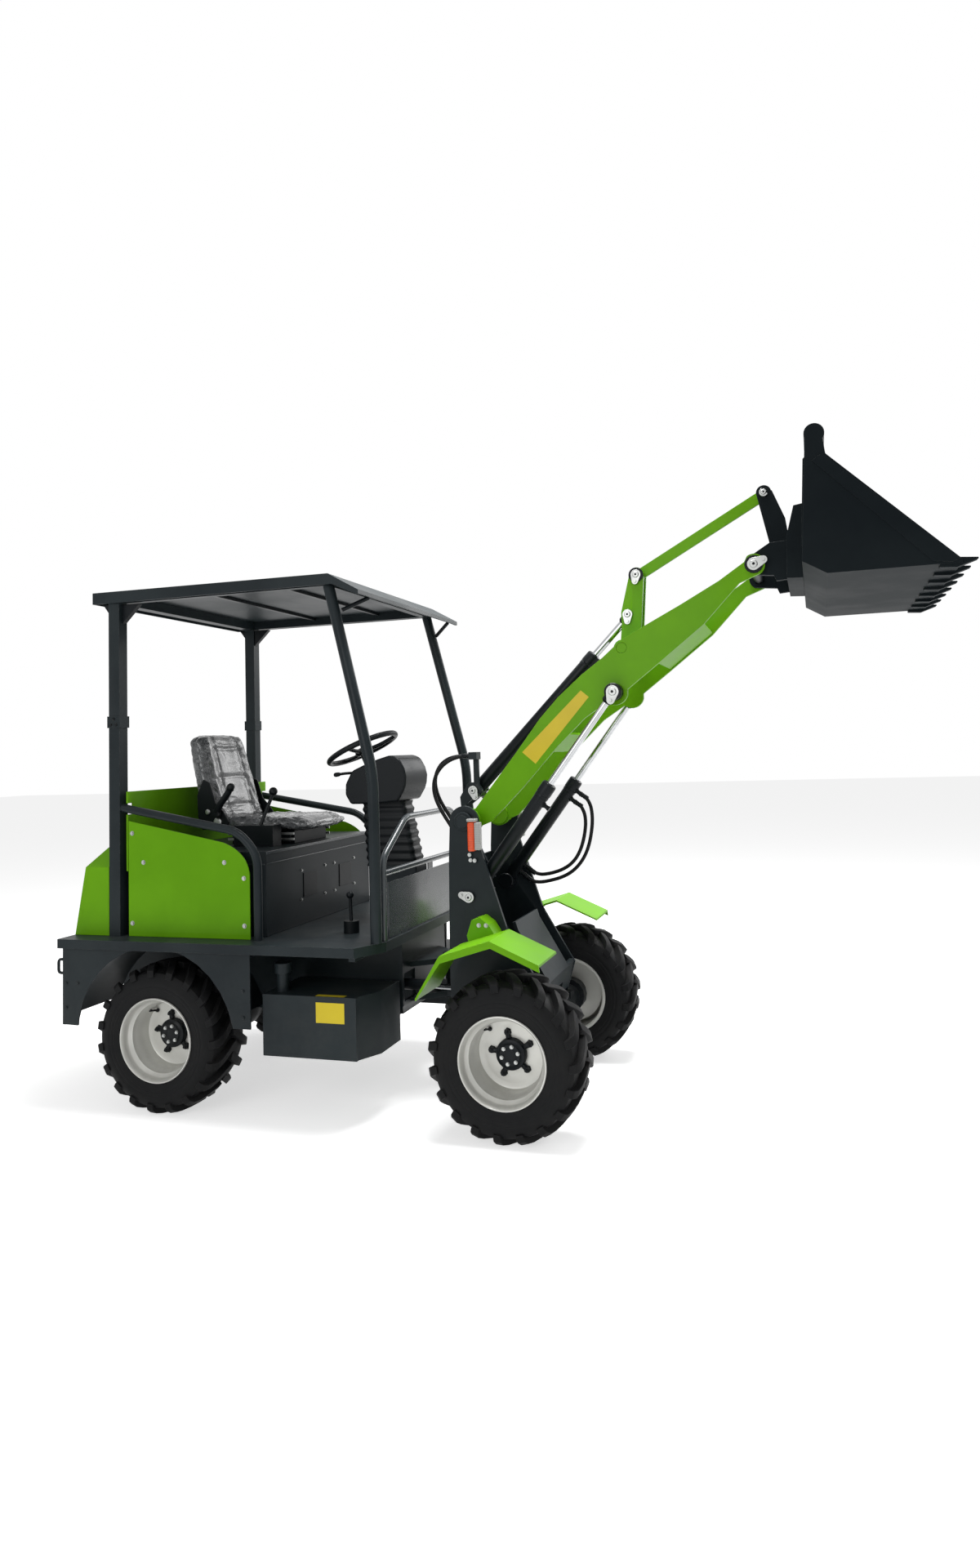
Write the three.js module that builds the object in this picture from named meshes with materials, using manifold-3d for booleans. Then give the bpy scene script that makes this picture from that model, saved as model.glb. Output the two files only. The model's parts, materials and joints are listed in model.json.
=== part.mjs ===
// Compact articulated wheel loader with an open canopy, a raised boom and a bucket.
// Millimetres, +X forward, +Y to the driver's left, +Z up, ground at Z = 0.
import * as THREE from "three";
import { mergeVertices } from "three/addons/utils/BufferGeometryUtils.js";
import Module from "manifold-3d";

const wasm = await Module();
wasm.setup();

// ---- driving dimensions -------------------------------------------------
const BOX_CENTRE_X = 1526.5; // middle of the overall length, ahead of the rear axle
const GAP = 0.3; // gap left between pieces that touch

// wheels and axles
const WHEELBASE = 1671;
const TYRE_R = 340;
const TYRE_W = 278;
const WHEEL_Y = 586.75;
const BEAD_R = 181;
const FLANGE_R = 192;
const AXLE_R = 60;
const HUB_R = 70;

// The frames are drawn with their axles at this height, and the front half with its axle at this
// place, and each half is then set on its own axle.
const AXLE_Z = 340;
const FRONT_AXLE_X = 1671;
const FRONT_SHIFT = WHEELBASE - FRONT_AXLE_X;

// articulation, in the drawing of the front half and in that of the rear half
const PIVOT_FRONT_X = 1200;
const PIVOT_X = PIVOT_FRONT_X + FRONT_SHIFT;
const PIVOT_PIN_R = 30;

// rear frame and deck
const DECK_REAR = -520;
const DECK_FRONT = 1112;
const DECK_Y = 752;
const DECK_Z = 793;
const DECK_EDGE = 43;
const DECK_T = 8;
const FRAME_Y = 300;
const FRAME_T = 16;
const FRAME_Z0 = 400;
const FRAME_Z1 = DECK_Z - DECK_T - GAP;
const ARCH_R = 425;
const HANGER_X0 = -510;
const HANGER_X1 = -494;
const SKIRT_Y = 730;
const LOOP_X = -541;

// tanks, which the front fenders sweep over
const TANK_Z = 565;

// body panels
const PANEL_Y = 640;
const PANEL_T = 6;
const BOX_X0 = -198;
const BOX_X1 = 495;
const BOX_Z = 1185;
const HOOD_Z = 1207;
const BULKHEAD_X0 = -218;
const BULKHEAD_X1 = -210;
const BULKHEAD_Z = 1480;
const SEAT_BASE_Z = 1250;
const ENGINE_X0 = -430;
const ENGINE_X1 = 250;
const ENGINE_Y = 255;
const ENGINE_Z0 = 520;
const ENGINE_Z = 1085;

// canopy
const POST_X0 = -308;
const POST_X1 = -247;
const POST_Y0 = 585;
const POST_Y1 = 645;
const HOOP_R = 26;
const HOOP_X = 1080;
const HOOP_TOP_X = 862;
const HOOP_BEND_Z = 1535;
const RAIL_R = 20;
const ROOF_Y = 653.5;
const ROOF_T = 8;
const ROOF_REAR = -396;
const ROOF_CREST = [889, 2450];
const ROOF_LIP = [1039, 2365];
const ROOF_UNDER = 2442;
const ROOF_EDGE_Z = 2400;
const BEAM_H = 46;

// front guard and steering column
const GUARD_X = 1093;
const GUARD_Y = 570;
const GUARD_R = 15;
const HELM_CENTRE = [737, 1654];
const HELM_TILT = 0.42;
const HELM_R = 182;
const HELM_TUBE_R = 15;

// boom linkage pins, as (X, Z)
const BOOM_PIN = [1395, 1300];
const LIFT_BASE = [1413, 955];
const LIFT_EYE = [2108, 1869];
const TILT_BASE = [1355, 1430];
const LEVER_PIN = [2145, 2070];
const TILT_EYE = [2148, 2244];
const LINK_REAR = [2195, 2430];
const BUCKET_PIN = [2746, 2401];
const LINK_FRONT = [2796, 2761];
const LIFT_BARREL_R = 32;
const LIFT_BARREL_L = 640;
const TILT_BARREL_R = 36;
const TILT_BARREL_L = 890;
const BOOM_PIN_R = 28;
const LIFT_PIN_R = 25;
const TILT_PIN_R = 20;
const LEVER_PIN_R = 24;
const LINK_PIN_R = 23;
const BUCKET_PIN_R = 25;
const BOOM_Y = 230;
const BOOM_T = 22;
const BARREL_ROOM = 5; // between a lift barrel and the plates on both sides of it
const LIFT_Y = BOOM_Y + BARREL_ROOM + LIFT_BARREL_R;
const TOWER_Y0 = LIFT_Y + LIFT_BARREL_R + BARREL_ROOM;
const TOWER_T = 18;
const TOWER_Y1 = TOWER_Y0 + TOWER_T;

// steering cylinder, as (X, Y)
const STEER_BASE = [800, -170];
const STEER_EYE = [1330, -230];
const STEER_Z = 520;

// bucket
const BUCKET_Y = 710;
const BUCKET_T = 12;

// hoses, each along the points of its own route
const HOSE_R = 9;
const PORT_REACH = 64;
const HOSES = {
  tilt_hose_inner: [
    [1300, -90, 1110.3], [1299, -90, 1150], [1293, -90, 1190], [1281, -90, 1232],
    [1262, -90, 1272], [1238, -90, 1311], [1213, -90, 1350], [1190, -90, 1391],
    [1174, -90, 1434], [1168, -89, 1479], [1176, -86, 1523], [1199, -82, 1562],
    [1236, -76, 1588], [1278, -67, 1599], [1318, -62, 1600], [1349.7, -62, 1600],
  ],
  tilt_hose_outer: [
    [1300, -122, 1110.3], [1299, -122, 1150], [1290, -122, 1190], [1274, -121, 1230],
    [1252, -120, 1269], [1226, -119, 1308], [1202, -118, 1348], [1182, -117, 1390],
    [1171, -116, 1434], [1172, -114, 1479], [1187, -111, 1520], [1214, -106, 1555],
    [1249, -100, 1580], [1286, -92, 1594], [1320, -88, 1600], [1349.7, -88, 1600],
  ],
  lift_hose_inner: [
    [1790.8, 267, 1346.1], [1814.7, 267, 1328], [1832, 267, 1290], [1836, 267, 1244],
    [1830, 267, 1195], [1819, 267, 1150], [1803, 267, 1107], [1780, 267, 1068],
    [1750, 267, 1037], [1713, 267, 1014], [1674, 267, 999], [1632, 267, 989],
    [1594, 267, 986], [1560.4, 267, 994.6], [1536.5, 267, 1011.8],
  ],
  lift_hose_outer: [
    [1821.1, 267, 1385.9], [1845, 267, 1367.8], [1864, 267, 1332], [1871, 267, 1287],
    [1870, 267, 1239], [1863, 267, 1191], [1852, 267, 1144], [1835, 267, 1098],
    [1811, 267, 1056], [1779, 267, 1019], [1740, 267, 990], [1696, 267, 970],
    [1650, 267, 957], [1603, 267, 948], [1565, 267, 948], [1535, 267, 960],
    [1511.2, 267, 978.4],
  ],
};

// ---- materials ----------------------------------------------------------
const paint = (color, roughness, metalness) =>
  new THREE.MeshStandardMaterial({ color, roughness, metalness });
const GREEN = paint(0x5fa012, 0.35, 0.0);
const CHARCOAL = paint(0x2a3236, 0.45, 0.0);
const BLACK = paint(0x14181a, 0.5, 0.0);
const RUBBER = paint(0x1a1c1c, 0.85, 0.0);
const SILVER = paint(0xd4d6d2, 0.35, 0.3);
const CHROME = paint(0xd8dcdf, 0.12, 1.0);
const VINYL = paint(0x3c4042, 0.6, 0.0);
const AMBER = paint(0xe5511a, 0.3, 0.0);

const loader = new THREE.Group();
loader.position.x = -BOX_CENTRE_X;
const rear = new THREE.Group();
rear.position.z = TYRE_R - AXLE_Z;
const front = new THREE.Group();
front.position.set(FRONT_SHIFT, 0, TYRE_R - AXLE_Z);
loader.add(rear, front);

// ---- helpers ------------------------------------------------------------
function solid(geometry) {
  geometry.deleteAttribute("normal");
  geometry.deleteAttribute("uv");
  const merged = mergeVertices(geometry, 1e-3);
  const vertProperties = new Float32Array(merged.attributes.position.array);
  const triVerts = new Uint32Array(merged.index.array);
  const made = new wasm.Manifold(new wasm.Mesh({ numProp: 3, vertProperties, triVerts }));
  if (made.volume() > 0) return made;
  // a profile given the other way round faces inwards, so its triangles are turned
  for (let i = 0; i < triVerts.length; i += 3) {
    [triVerts[i + 1], triVerts[i + 2]] = [triVerts[i + 2], triVerts[i + 1]];
  }
  return new wasm.Manifold(new wasm.Mesh({ numProp: 3, vertProperties, triVerts }));
}

function add(name, shape, material, parent = rear) {
  const data = shape.getMesh();
  const geometry = new THREE.BufferGeometry();
  geometry.setAttribute("position", new THREE.BufferAttribute(data.vertProperties, 3));
  geometry.setIndex(new THREE.BufferAttribute(data.triVerts, 1));
  geometry.computeVertexNormals();
  const mesh = new THREE.Mesh(geometry, material);
  mesh.name = name;
  parent.add(mesh);
  return mesh;
}

const union = (...parts) => parts.reduce((a, b) => a.add(b));

function box(x0, x1, y0, y1, z0, z1) {
  const g = new THREE.BoxGeometry(x1 - x0, y1 - y0, z1 - z0);
  g.translate((x0 + x1) / 2, (y0 + y1) / 2, (z0 + z1) / 2);
  return solid(g);
}

// An outline in X and Z, given in order round it, made into a plate from y0 to y1.
function plate(points, y0, y1) {
  const shape = points instanceof THREE.Shape ? points : outline(points);
  const g = new THREE.ExtrudeGeometry(shape, {
    depth: y1 - y0,
    bevelEnabled: false,
    curveSegments: 12,
  });
  g.rotateX(Math.PI / 2);
  g.translate(0, y1, 0);
  return solid(g);
}

function outline(points) {
  return new THREE.Shape(points.map(([x, z]) => new THREE.Vector2(x, z)));
}

// An outline in X and Y made into a plate from z0 to z1.
function slab(points, z0, z1) {
  const g = new THREE.ExtrudeGeometry(outline(points), {
    depth: z1 - z0,
    bevelEnabled: false,
  });
  g.translate(0, 0, z0);
  return solid(g);
}

function rod(a, b, r, n = 16) {
  const from = new THREE.Vector3(...a);
  const to = new THREE.Vector3(...b);
  const g = new THREE.CylinderGeometry(r, r, from.distanceTo(to), n);
  const dir = to.clone().sub(from).normalize();
  g.applyQuaternion(new THREE.Quaternion().setFromUnitVectors(new THREE.Vector3(0, 1, 0), dir));
  g.translate((a[0] + b[0]) / 2, (a[1] + b[1]) / 2, (a[2] + b[2]) / 2);
  return solid(g);
}

// A pin or boss along Y at the point (x, z).
const pin = ([x, z], r, y0, y1, n = 16) => rod([x, y0, z], [x, y1, z], r, n);

// A route through given points, sampled at each of them and nowhere else.
class Route extends THREE.Curve {
  constructor(points) {
    super();
    this.points = points;
  }

  getPoint(t, target = new THREE.Vector3()) {
    const k = t * (this.points.length - 1);
    const i = Math.min(Math.floor(k + 1e-9), this.points.length - 2);
    return target.lerpVectors(this.points[i], this.points[i + 1], k - i);
  }

  getPointAt(t, target) {
    return this.getPoint(t, target);
  }

  getTangentAt(t, target = new THREE.Vector3()) {
    const n = this.points.length;
    const i = Math.round(t * (n - 1));
    const before = this.points[Math.max(i - 1, 0)];
    const after = this.points[Math.min(i + 1, n - 1)];
    const here = this.points[i];
    const a = here.clone().sub(before).normalize();
    const b = after.clone().sub(here).normalize();
    return target.copy(a.add(b).normalize());
  }
}

// A tube with rounded bends along a line of points.
function bentTube(points, r, bend, n = 10, arc = 4) {
  const v = points.map((p) => new THREE.Vector3(...p));
  const route = [v[0]];
  for (let i = 1; i < v.length - 1; i++) {
    const before = v[i].clone().add(v[i - 1].clone().sub(v[i]).setLength(bend));
    const after = v[i].clone().add(v[i + 1].clone().sub(v[i]).setLength(bend));
    route.push(...new THREE.QuadraticBezierCurve3(before, v[i], after).getPoints(arc));
  }
  route.push(v[v.length - 1]);
  return sweep(route, r, n);
}

function sweep(route, r, n = 10) {
  const circle = [];
  for (let i = 0; i < n; i++) {
    const a = (i / n) * Math.PI * 2;
    circle.push(new THREE.Vector2(r * Math.cos(a), r * Math.sin(a)));
  }
  const g = new THREE.ExtrudeGeometry(new THREE.Shape(circle), {
    steps: route.length - 1,
    extrudePath: new Route(route),
    bevelEnabled: false,
  });
  return solid(g);
}

function ball([x, y, z], r, n = 12) {
  const g = new THREE.SphereGeometry(r, n, Math.ceil(n / 2));
  g.translate(x, y, z);
  return solid(g);
}

// A ring about a Y axis through (x, z): profile as [radius, y] pairs, closed.
function ring(profile, x, z, n = 32) {
  const points = [...profile, profile[0]].map(([r, y]) => new THREE.Vector2(r, y));
  const g = new THREE.LatheGeometry(points, n);
  g.translate(x, 0, z);
  return solid(g);
}

// A point a distance along the line from one (X, Z) point to another.
function along(a, b, d) {
  const l = Math.hypot(b[0] - a[0], b[1] - a[1]);
  return [a[0] + ((b[0] - a[0]) * d) / l, a[1] + ((b[1] - a[1]) * d) / l];
}

// Radius of a faceted hole in which a faceted pin of radius r can turn.
const bore = (r, n = 16) => (r + GAP) / Math.cos(Math.PI / n);

const bothSides = (make) => [-1, 1].map((side) => make(side));
const sideName = (side) => (side < 0 ? "right" : "left");
const ys = (side, y0, y1) => (side < 0 ? [-y1, -y0] : [y0, y1]);

// ---- wheels -------------------------------------------------------------
function wheel(end, side, x) {
  const half = TYRE_W / 2;
  const tyre = [
    [BEAD_R + 1, -128], [225, -138], [262, -half], [318, -124], [TYRE_R, -92],
    [TYRE_R, 92], [318, 124], [262, half], [225, 138], [BEAD_R + 1, 128],
  ];
  const rubber = ring(tyre, x, TYRE_R, 32).translate([0, side * WHEEL_Y, 0]);
  add(`tyre_${end}_${sideName(side)}`, rubber, RUBBER, loader);
  // The dish opens outwards, and its centre disc lies near the outer side of the axle's end.
  const dish = [
    [FLANGE_R, 131 + GAP], [FLANGE_R, 134], [178, 134], [167, 60], [146, -22], [0, -22],
    [0, -34], [156, -34], [174, 56], [174, -126], [FLANGE_R, -134], [FLANGE_R, -131 - GAP],
    [BEAD_R, -131 - GAP], [BEAD_R, 131 + GAP],
  ];
  const rim = ring(dish.map(([r, y]) => [r, side * y]), x, TYRE_R, 24)
    .translate([0, side * WHEEL_Y, 0]);
  const hub = rod([x, side * 505, TYRE_R], [x, side * 606, TYRE_R], HUB_R, 16);
  add(`rim_${end}_${sideName(side)}`, union(rim, hub), SILVER, loader);
}

for (const side of [-1, 1]) {
  wheel("rear", side, 0);
  wheel("front", side, WHEELBASE);
}

function axle(x) {
  const beam = rod([x, -505 + GAP, AXLE_Z], [x, 505 - GAP, AXLE_Z], AXLE_R, 16);
  const bowl = ball([x, 0, AXLE_Z], 125, 14);
  const flanges = bothSides((s) => rod([x, s * 440, AXLE_Z], [x, s * (505 - GAP), AXLE_Z], 85, 16));
  const pads = bothSides((s) =>
    box(x - 55, x + 55, ...ys(s, 270, 335), AXLE_Z, FRAME_Z0 - GAP),
  );
  return union(beam, bowl, ...flanges, ...pads);
}
add("rear_axle", axle(0), BLACK);
add("front_axle", axle(FRONT_AXLE_X), BLACK, front);

// ---- rear frame and deck ------------------------------------------------
function rearChassis() {
  const inner = FRAME_Y - FRAME_T;
  const rails = bothSides((s) =>
    plate(
      [[-500, FRAME_Z0], [1040, FRAME_Z0], [1060, 440], [1060, FRAME_Z1], [-500, FRAME_Z1]],
      ...ys(s, inner, FRAME_Y),
    ),
  );
  const walls = [[-496, FRAME_Z0 + 4], [300, 560], [1040, FRAME_Z0 + 4]].map(([x, z0]) =>
    box(x, x + FRAME_T, -FRAME_Y + 5, FRAME_Y - 5, z0, FRAME_Z1 - 4),
  );
  const engineSeats = [ENGINE_X0 + 40, ENGINE_X1 - 80].map((x) =>
    box(x, x + 40, -FRAME_Y + 5, FRAME_Y - 5, ENGINE_Z0 - 50, ENGINE_Z0 - GAP),
  );
  const outriggers = bothSides((s) =>
    [HANGER_X1 + GAP, BOX_X1 - 40, 980].map((x) =>
      box(x, x + 30, ...ys(s, FRAME_Y - 3, 700), FRAME_Z1 - 60, FRAME_Z1),
    ),
  ).flat();
  const lugs = [[600, 625], [440, 465]].map(([z0, z1]) => {
    const tongue = slab([[1050, -200], [PIVOT_X, -82], [PIVOT_X, 82], [1050, 200]], z0, z1);
    const nose = rod([PIVOT_X, 0, z0], [PIVOT_X, 0, z1], 85, 20);
    return union(tongue, nose);
  });
  const [steerX, steerY] = STEER_BASE;
  const steerLug = union(
    box(steerX - 30, steerX + 30, -FRAME_Y + 1, steerY, STEER_Z - 60, STEER_Z - 32),
    box(steerX - 30, steerX + 30, -FRAME_Y + 1, steerY, STEER_Z + 32, STEER_Z + 60),
    rod([steerX, steerY, STEER_Z - 60.5], [steerX, steerY, STEER_Z - 31.5], 32, 16),
    rod([steerX, steerY, STEER_Z + 31.5], [steerX, steerY, STEER_Z + 60.5], 32, 16),
    rod([steerX, steerY, STEER_Z - 40], [steerX, steerY, STEER_Z + 40], 14, 16),
  );
  const body = union(...rails, ...walls, ...engineSeats, ...outriggers, ...lugs, steerLug);
  return body
    .subtract(rod([PIVOT_X, 0, 300], [PIVOT_X, 0, 700], bore(PIVOT_PIN_R), 16))
    .subtract(box(1020, 1070, -272, -140, STEER_Z - 65, STEER_Z + 65));
}
add("rear_chassis", rearChassis(), CHARCOAL);

function pivotPin() {
  return union(
    rod([PIVOT_X, 0, 425], [PIVOT_X, 0, 630], PIVOT_PIN_R, 16),
    rod([PIVOT_X, 0, 625 + GAP], [PIVOT_X, 0, 637], 46, 16),
    rod([PIVOT_X, 0, 424], [PIVOT_X, 0, 440 - GAP], 46, 16),
  );
}
add("pivot_pin", pivotPin(), CHROME);

// Deck plate with its folded edge, the step, the skirts and the two wheel arches.
function deck() {
  const floor = [
    [DECK_REAR, -DECK_Y], [1030, -DECK_Y], [DECK_FRONT, -594], [DECK_FRONT, 594],
    [1030, DECK_Y], [DECK_REAR, DECK_Y],
  ];
  const top = slab(floor, DECK_Z - DECK_T, DECK_Z);
  const t = 8;
  const edge = slab(floor, DECK_Z - DECK_EDGE, DECK_Z - 4).subtract(
    slab(
      [
        [DECK_REAR + t, -DECK_Y + t], [1026, -DECK_Y + t], [DECK_FRONT - t, -590],
        [DECK_FRONT - t, 590], [1026, DECK_Y - t], [DECK_REAR + t, DECK_Y - t],
      ],
      DECK_Z - DECK_EDGE - 1,
      DECK_Z - 7,
    ),
  );
  const opening = box(-470, BOX_X1 - 25, -520, 520, 700, 900);
  const skirts = bothSides((s) => {
    const y = ys(s, SKIRT_Y - 8, SKIRT_Y);
    const rear = plate([[-507, 392], [-300, 388], [-300, 786], [-507, 786]], ...y);
    const front = plate([[300, 419], [507, 419], [507, 786], [300, 786]], ...y);
    const across = box(-440, 440, ...y, 560, 786);
    const round = pin([0, AXLE_Z], ARCH_R, -800, 800, 32);
    const side = union(rear, front, across).subtract(round);
    const lining = ring(
      [[ARCH_R, y[0]], [ARCH_R, y[1]], [ARCH_R + 5, y[1]], [ARCH_R + 5, y[0]]], 0, AXLE_Z, 32);
    const inner = s < 0 ? [y[1] - 1, -450] : [450, y[0] + 1];
    const liner = ring(
      [[ARCH_R, inner[0]], [ARCH_R, inner[1]], [ARCH_R + 5, inner[1]], [ARCH_R + 5, inner[0]]],
      0, AXLE_Z, 32);
    const keep = box(-440, 440, -800, 800, 459, 786);
    return union(side, union(lining, liner).intersect(keep));
  });
  const hangers = bothSides((s) =>
    box(HANGER_X0, HANGER_X1, ...ys(s, 640, SKIRT_Y - 3), 390, 786),
  );
  const loops = bothSides((s) => {
    const y = s * (SKIRT_Y - 12);
    return bentTube(
      [[HANGER_X0 + 6, y, 692], [LOOP_X, y, 692], [LOOP_X, y, 628], [HANGER_X0 + 6, y, 628]],
      7, 16, 8, 3,
    );
  });
  return union(top, edge, ...skirts, ...hangers, ...loops).subtract(opening);
}
add("deck", deck(), CHARCOAL);

add("engine_block", box(ENGINE_X0, ENGINE_X1, -ENGINE_Y, ENGINE_Y, ENGINE_Z0, ENGINE_Z), BLACK);

// ---- body panels --------------------------------------------------------
function hood() {
  const section = [
    [-638, DECK_Z + GAP], [638, DECK_Z + GAP], [638, 1118], [560, HOOD_Z], [-560, HOOD_Z],
    [-638, 1118],
  ];
  const block = (inset) => {
    const g = new THREE.ExtrudeGeometry(
      new THREE.Shape(
        section.map(([y, z]) => {
          const k = (638 - inset) / 638;
          const lift = z > 1000 ? -inset : -inset * 2;
          return new THREE.Vector2(y * k, z + lift);
        }),
      ),
      { depth: 330, bevelEnabled: false },
    );
    // section (y, z) swept along X
    g.rotateY(Math.PI / 2);
    g.rotateX(Math.PI / 2);
    g.translate(-540, 0, 0);
    return solid(g);
  };
  const side = (d) =>
    plate(
      [[-518 + d, DECK_Z - 20], [-452 + d, 1118], [-380 + d, HOOD_Z - d + 0.01 * d],
        [-200, HOOD_Z - d], [-200, DECK_Z - 20]],
      -700, 700,
    );
  let shell = block(0).intersect(side(0)).subtract(block(6).intersect(side(6)));
  shell = shell.intersect(box(-560, BULKHEAD_X0 - GAP, -700, 700, DECK_Z + GAP, 1300));
  const notch = bothSides((s) =>
    box(POST_X0 - 8, -200, ...ys(s, POST_Y0 - 8, 700), 700, 1300),
  );
  for (const cut of notch) shell = shell.subtract(cut);
  return shell;
}
add("hood", hood(), GREEN);

for (const side of [-1, 1]) {
  const y = ys(side, PANEL_Y - 12, PANEL_Y - 6);
  const shape = new THREE.Shape();
  shape.moveTo(-207, DECK_Z + GAP);
  shape.lineTo(454, DECK_Z + GAP);
  shape.lineTo(454, 1085);
  shape.quadraticCurveTo(446, 1190, 314, 1236);
  shape.lineTo(-207, 1340);
  add(`side_panel_${sideName(side)}`, plate(shape, ...y), GREEN);
}

function rearBulkhead() {
  const sheet = slab(
    [[BULKHEAD_X0, -POST_Y1 + 10], [BULKHEAD_X1, -POST_Y1 + 10], [BULKHEAD_X1, POST_Y1 - 10],
      [BULKHEAD_X0, POST_Y1 - 10]],
    ENGINE_Z + 15, BULKHEAD_Z);
  // the seat's side rails run through a notch on each side
  const notches = bothSides((s) => box(BULKHEAD_X0 - 5, BULKHEAD_X1 + 5, ...ys(s, 596, 660), 1370, 1424));
  return sheet.subtract(union(...notches));
}
add("rear_bulkhead", rearBulkhead(), GREEN);

// ---- canopy frame with the two guard rails ------------------------------
function canopyFrame() {
  const bits = [];
  const beamTop = ROOF_UNDER - GAP;
  const beamLow = beamTop - BEAM_H;
  for (const s of [-1, 1]) {
    bits.push(box(POST_X0, POST_X1, ...ys(s, POST_Y0, POST_Y1), DECK_Z + GAP, beamTop - 2));
    bits.push(box(POST_X0 - 6, POST_X1 + 6, ...ys(s, POST_Y0 - 6, POST_Y1 + 5), 1790, 1846));
    bits.push(box(POST_X0 + 5, HOOP_TOP_X + 10, ...ys(s, 590, 625), beamLow + 3, beamTop));
    bits.push(
      bentTube(
        [[HOOP_TOP_X, s * 604, beamTop - 10], [HOOP_X, s * 627, HOOP_BEND_Z],
          [HOOP_X, s * 627, DECK_Z + GAP]],
        HOOP_R, 90, 14,
      ),
    );
    bits.push(
      bentTube(
        [[POST_X1 - 8, s * 622, 1403], [402, s * 640, 1285], [500, s * 640, 1180],
          [500, s * 640, DECK_Z + GAP]],
        RAIL_R, 60, 12,
      ),
    );
  }
  bits.push(box(POST_X0 + 2, POST_X1 - 2, -600, 600, beamLow, beamTop - 1));
  bits.push(box(HOOP_TOP_X - 18, HOOP_TOP_X + 22, -600, 600, beamLow, beamTop - 1));
  return union(...bits);
}
add("canopy_frame", canopyFrame(), CHARCOAL);

// A folded sheet: flat above the beams, sloping down to the front lip.
function roof() {
  const [crestX, crestZ] = ROOF_CREST;
  const [lipX, lipZ] = ROOF_LIP;
  const outer = plate(
    [[ROOF_REAR, ROOF_EDGE_Z], [ROOF_REAR, crestZ + 7], [crestX, crestZ], [lipX, lipZ],
      [lipX, lipZ - 20], [lipX - 12, lipZ - 20], [crestX + 16, ROOF_EDGE_Z]],
    -ROOF_Y, ROOF_Y,
  );
  const inner = plate(
    [[ROOF_REAR + ROOF_T, ROOF_EDGE_Z - 80], [ROOF_REAR + ROOF_T, ROOF_UNDER],
      [crestX - 4, ROOF_UNDER], [lipX - ROOF_T, lipZ - 7], [lipX - ROOF_T, ROOF_EDGE_Z - 80]],
    -ROOF_Y + ROOF_T, ROOF_Y - ROOF_T,
  );
  return outer.subtract(inner);
}
add("roof", roof(), CHARCOAL);

// ---- seat box, seat and controls ----------------------------------------
function seatBox() {
  const outer = box(BOX_X0, BOX_X1, -560, 560, DECK_Z + GAP, BOX_Z);
  const inner = box(BOX_X0 + 5, BOX_X1 - 5, -555, 555, DECK_Z - 10, BOX_Z - 5);
  const rear = box(BOX_X0 - 5, BOX_X0 + 10, -ENGINE_Y - 15, ENGINE_Y + 15, DECK_Z - 10, ENGINE_Z + 15);
  return outer.subtract(inner).subtract(rear);
}
add("seat_box", seatBox(), CHARCOAL);

add("seat_base", box(70, 430, -170, 170, BOX_Z + GAP, SEAT_BASE_Z), BLACK);

function cushion() {
  const z = SEAT_BASE_Z + GAP;
  return plate(
    [[40, z], [500, z], [530, z + 22], [528, z + 62], [500, z + 82], [300, z + 76], [90, z + 84],
      [40, z + 66]],
    -235, 235,
  );
}
add("seat_cushion", cushion(), VINYL);

function backrest() {
  const z = SEAT_BASE_Z + GAP;
  const front = 40 - 2 * GAP;
  return plate(
    [[-60, z], [front, z], [front, z + 90], [15, z + 130], [-66, 1690], [-100, 1748], [-160, 1742],
      [-185, 1695], [-120, 1390]],
    -228, 228,
  );
}
add("seat_backrest", backrest(), VINYL);

function console() {
  const base = box(180, 400, -330, -250, BOX_Z + GAP, 1290);
  const stick = rod([300, -290, 1270], [350, -240, 1440], 9, 12);
  const knob = ball([352, -238, 1452], 22, 14);
  return union(base, stick, knob);
}
add("control_console", console(), BLACK);

// Front guard across the footwell: panel, two cross rails and their end posts.
function frontGuard() {
  const x = GUARD_X;
  const panel = box(x - 4, x + 4, -520, 520, DECK_Z + GAP, 1045);
  const low = rod([x, -GUARD_Y, 1090], [x, GUARD_Y, 1090], GUARD_R, 12);
  const tie = box(x - 3, x + 3, -30, 30, 1040, 1085);
  const high = bentTube(
    [[x, -GUARD_Y, DECK_Z + GAP], [x, -GUARD_Y, 1155], [x, -300, 1322], [x, 300, 1322],
      [x, GUARD_Y, 1155], [x, GUARD_Y, DECK_Z + GAP]],
    GUARD_R, 50, 12,
  );
  return union(panel, low, tie, high);
}
add("front_guard", frontGuard(), CHARCOAL);

// The helm's axis leans back from the vertical.
const HELM_AXIS = new THREE.Vector3(-Math.sin(HELM_TILT), 0, Math.cos(HELM_TILT));
const helmAt = (d) => [HELM_CENTRE[0] + d * HELM_AXIS.x, 0, HELM_CENTRE[1] + d * HELM_AXIS.z];
const HELM_HUB_LOW = -34;

function steeringColumn() {
  const foot = box(800, 1050, -75, 75, DECK_Z + GAP, 1070);
  const bellows = plate([[770, 1060], [1050, 1060], [1008, 1270], [985, 1390], [745, 1390]], -70, 70);
  const pod = plate(
    [[700, 1420], [704, 1480], [740, 1545], [884, 1600], [950, 1618], [1005, 1592], [1038, 1510],
      [1024, 1440], [990, 1385], [730, 1375]],
    -150, 150,
  );
  const shaft = rod(helmAt(HELM_HUB_LOW - GAP), helmAt(-150), 24, 16);
  const stalk = rod([760, -100, 1528], [688, -205, 1524], 9, 10);
  return union(foot, bellows, pod, shaft, stalk);
}
add("steering_column", steeringColumn(), BLACK);

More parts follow.
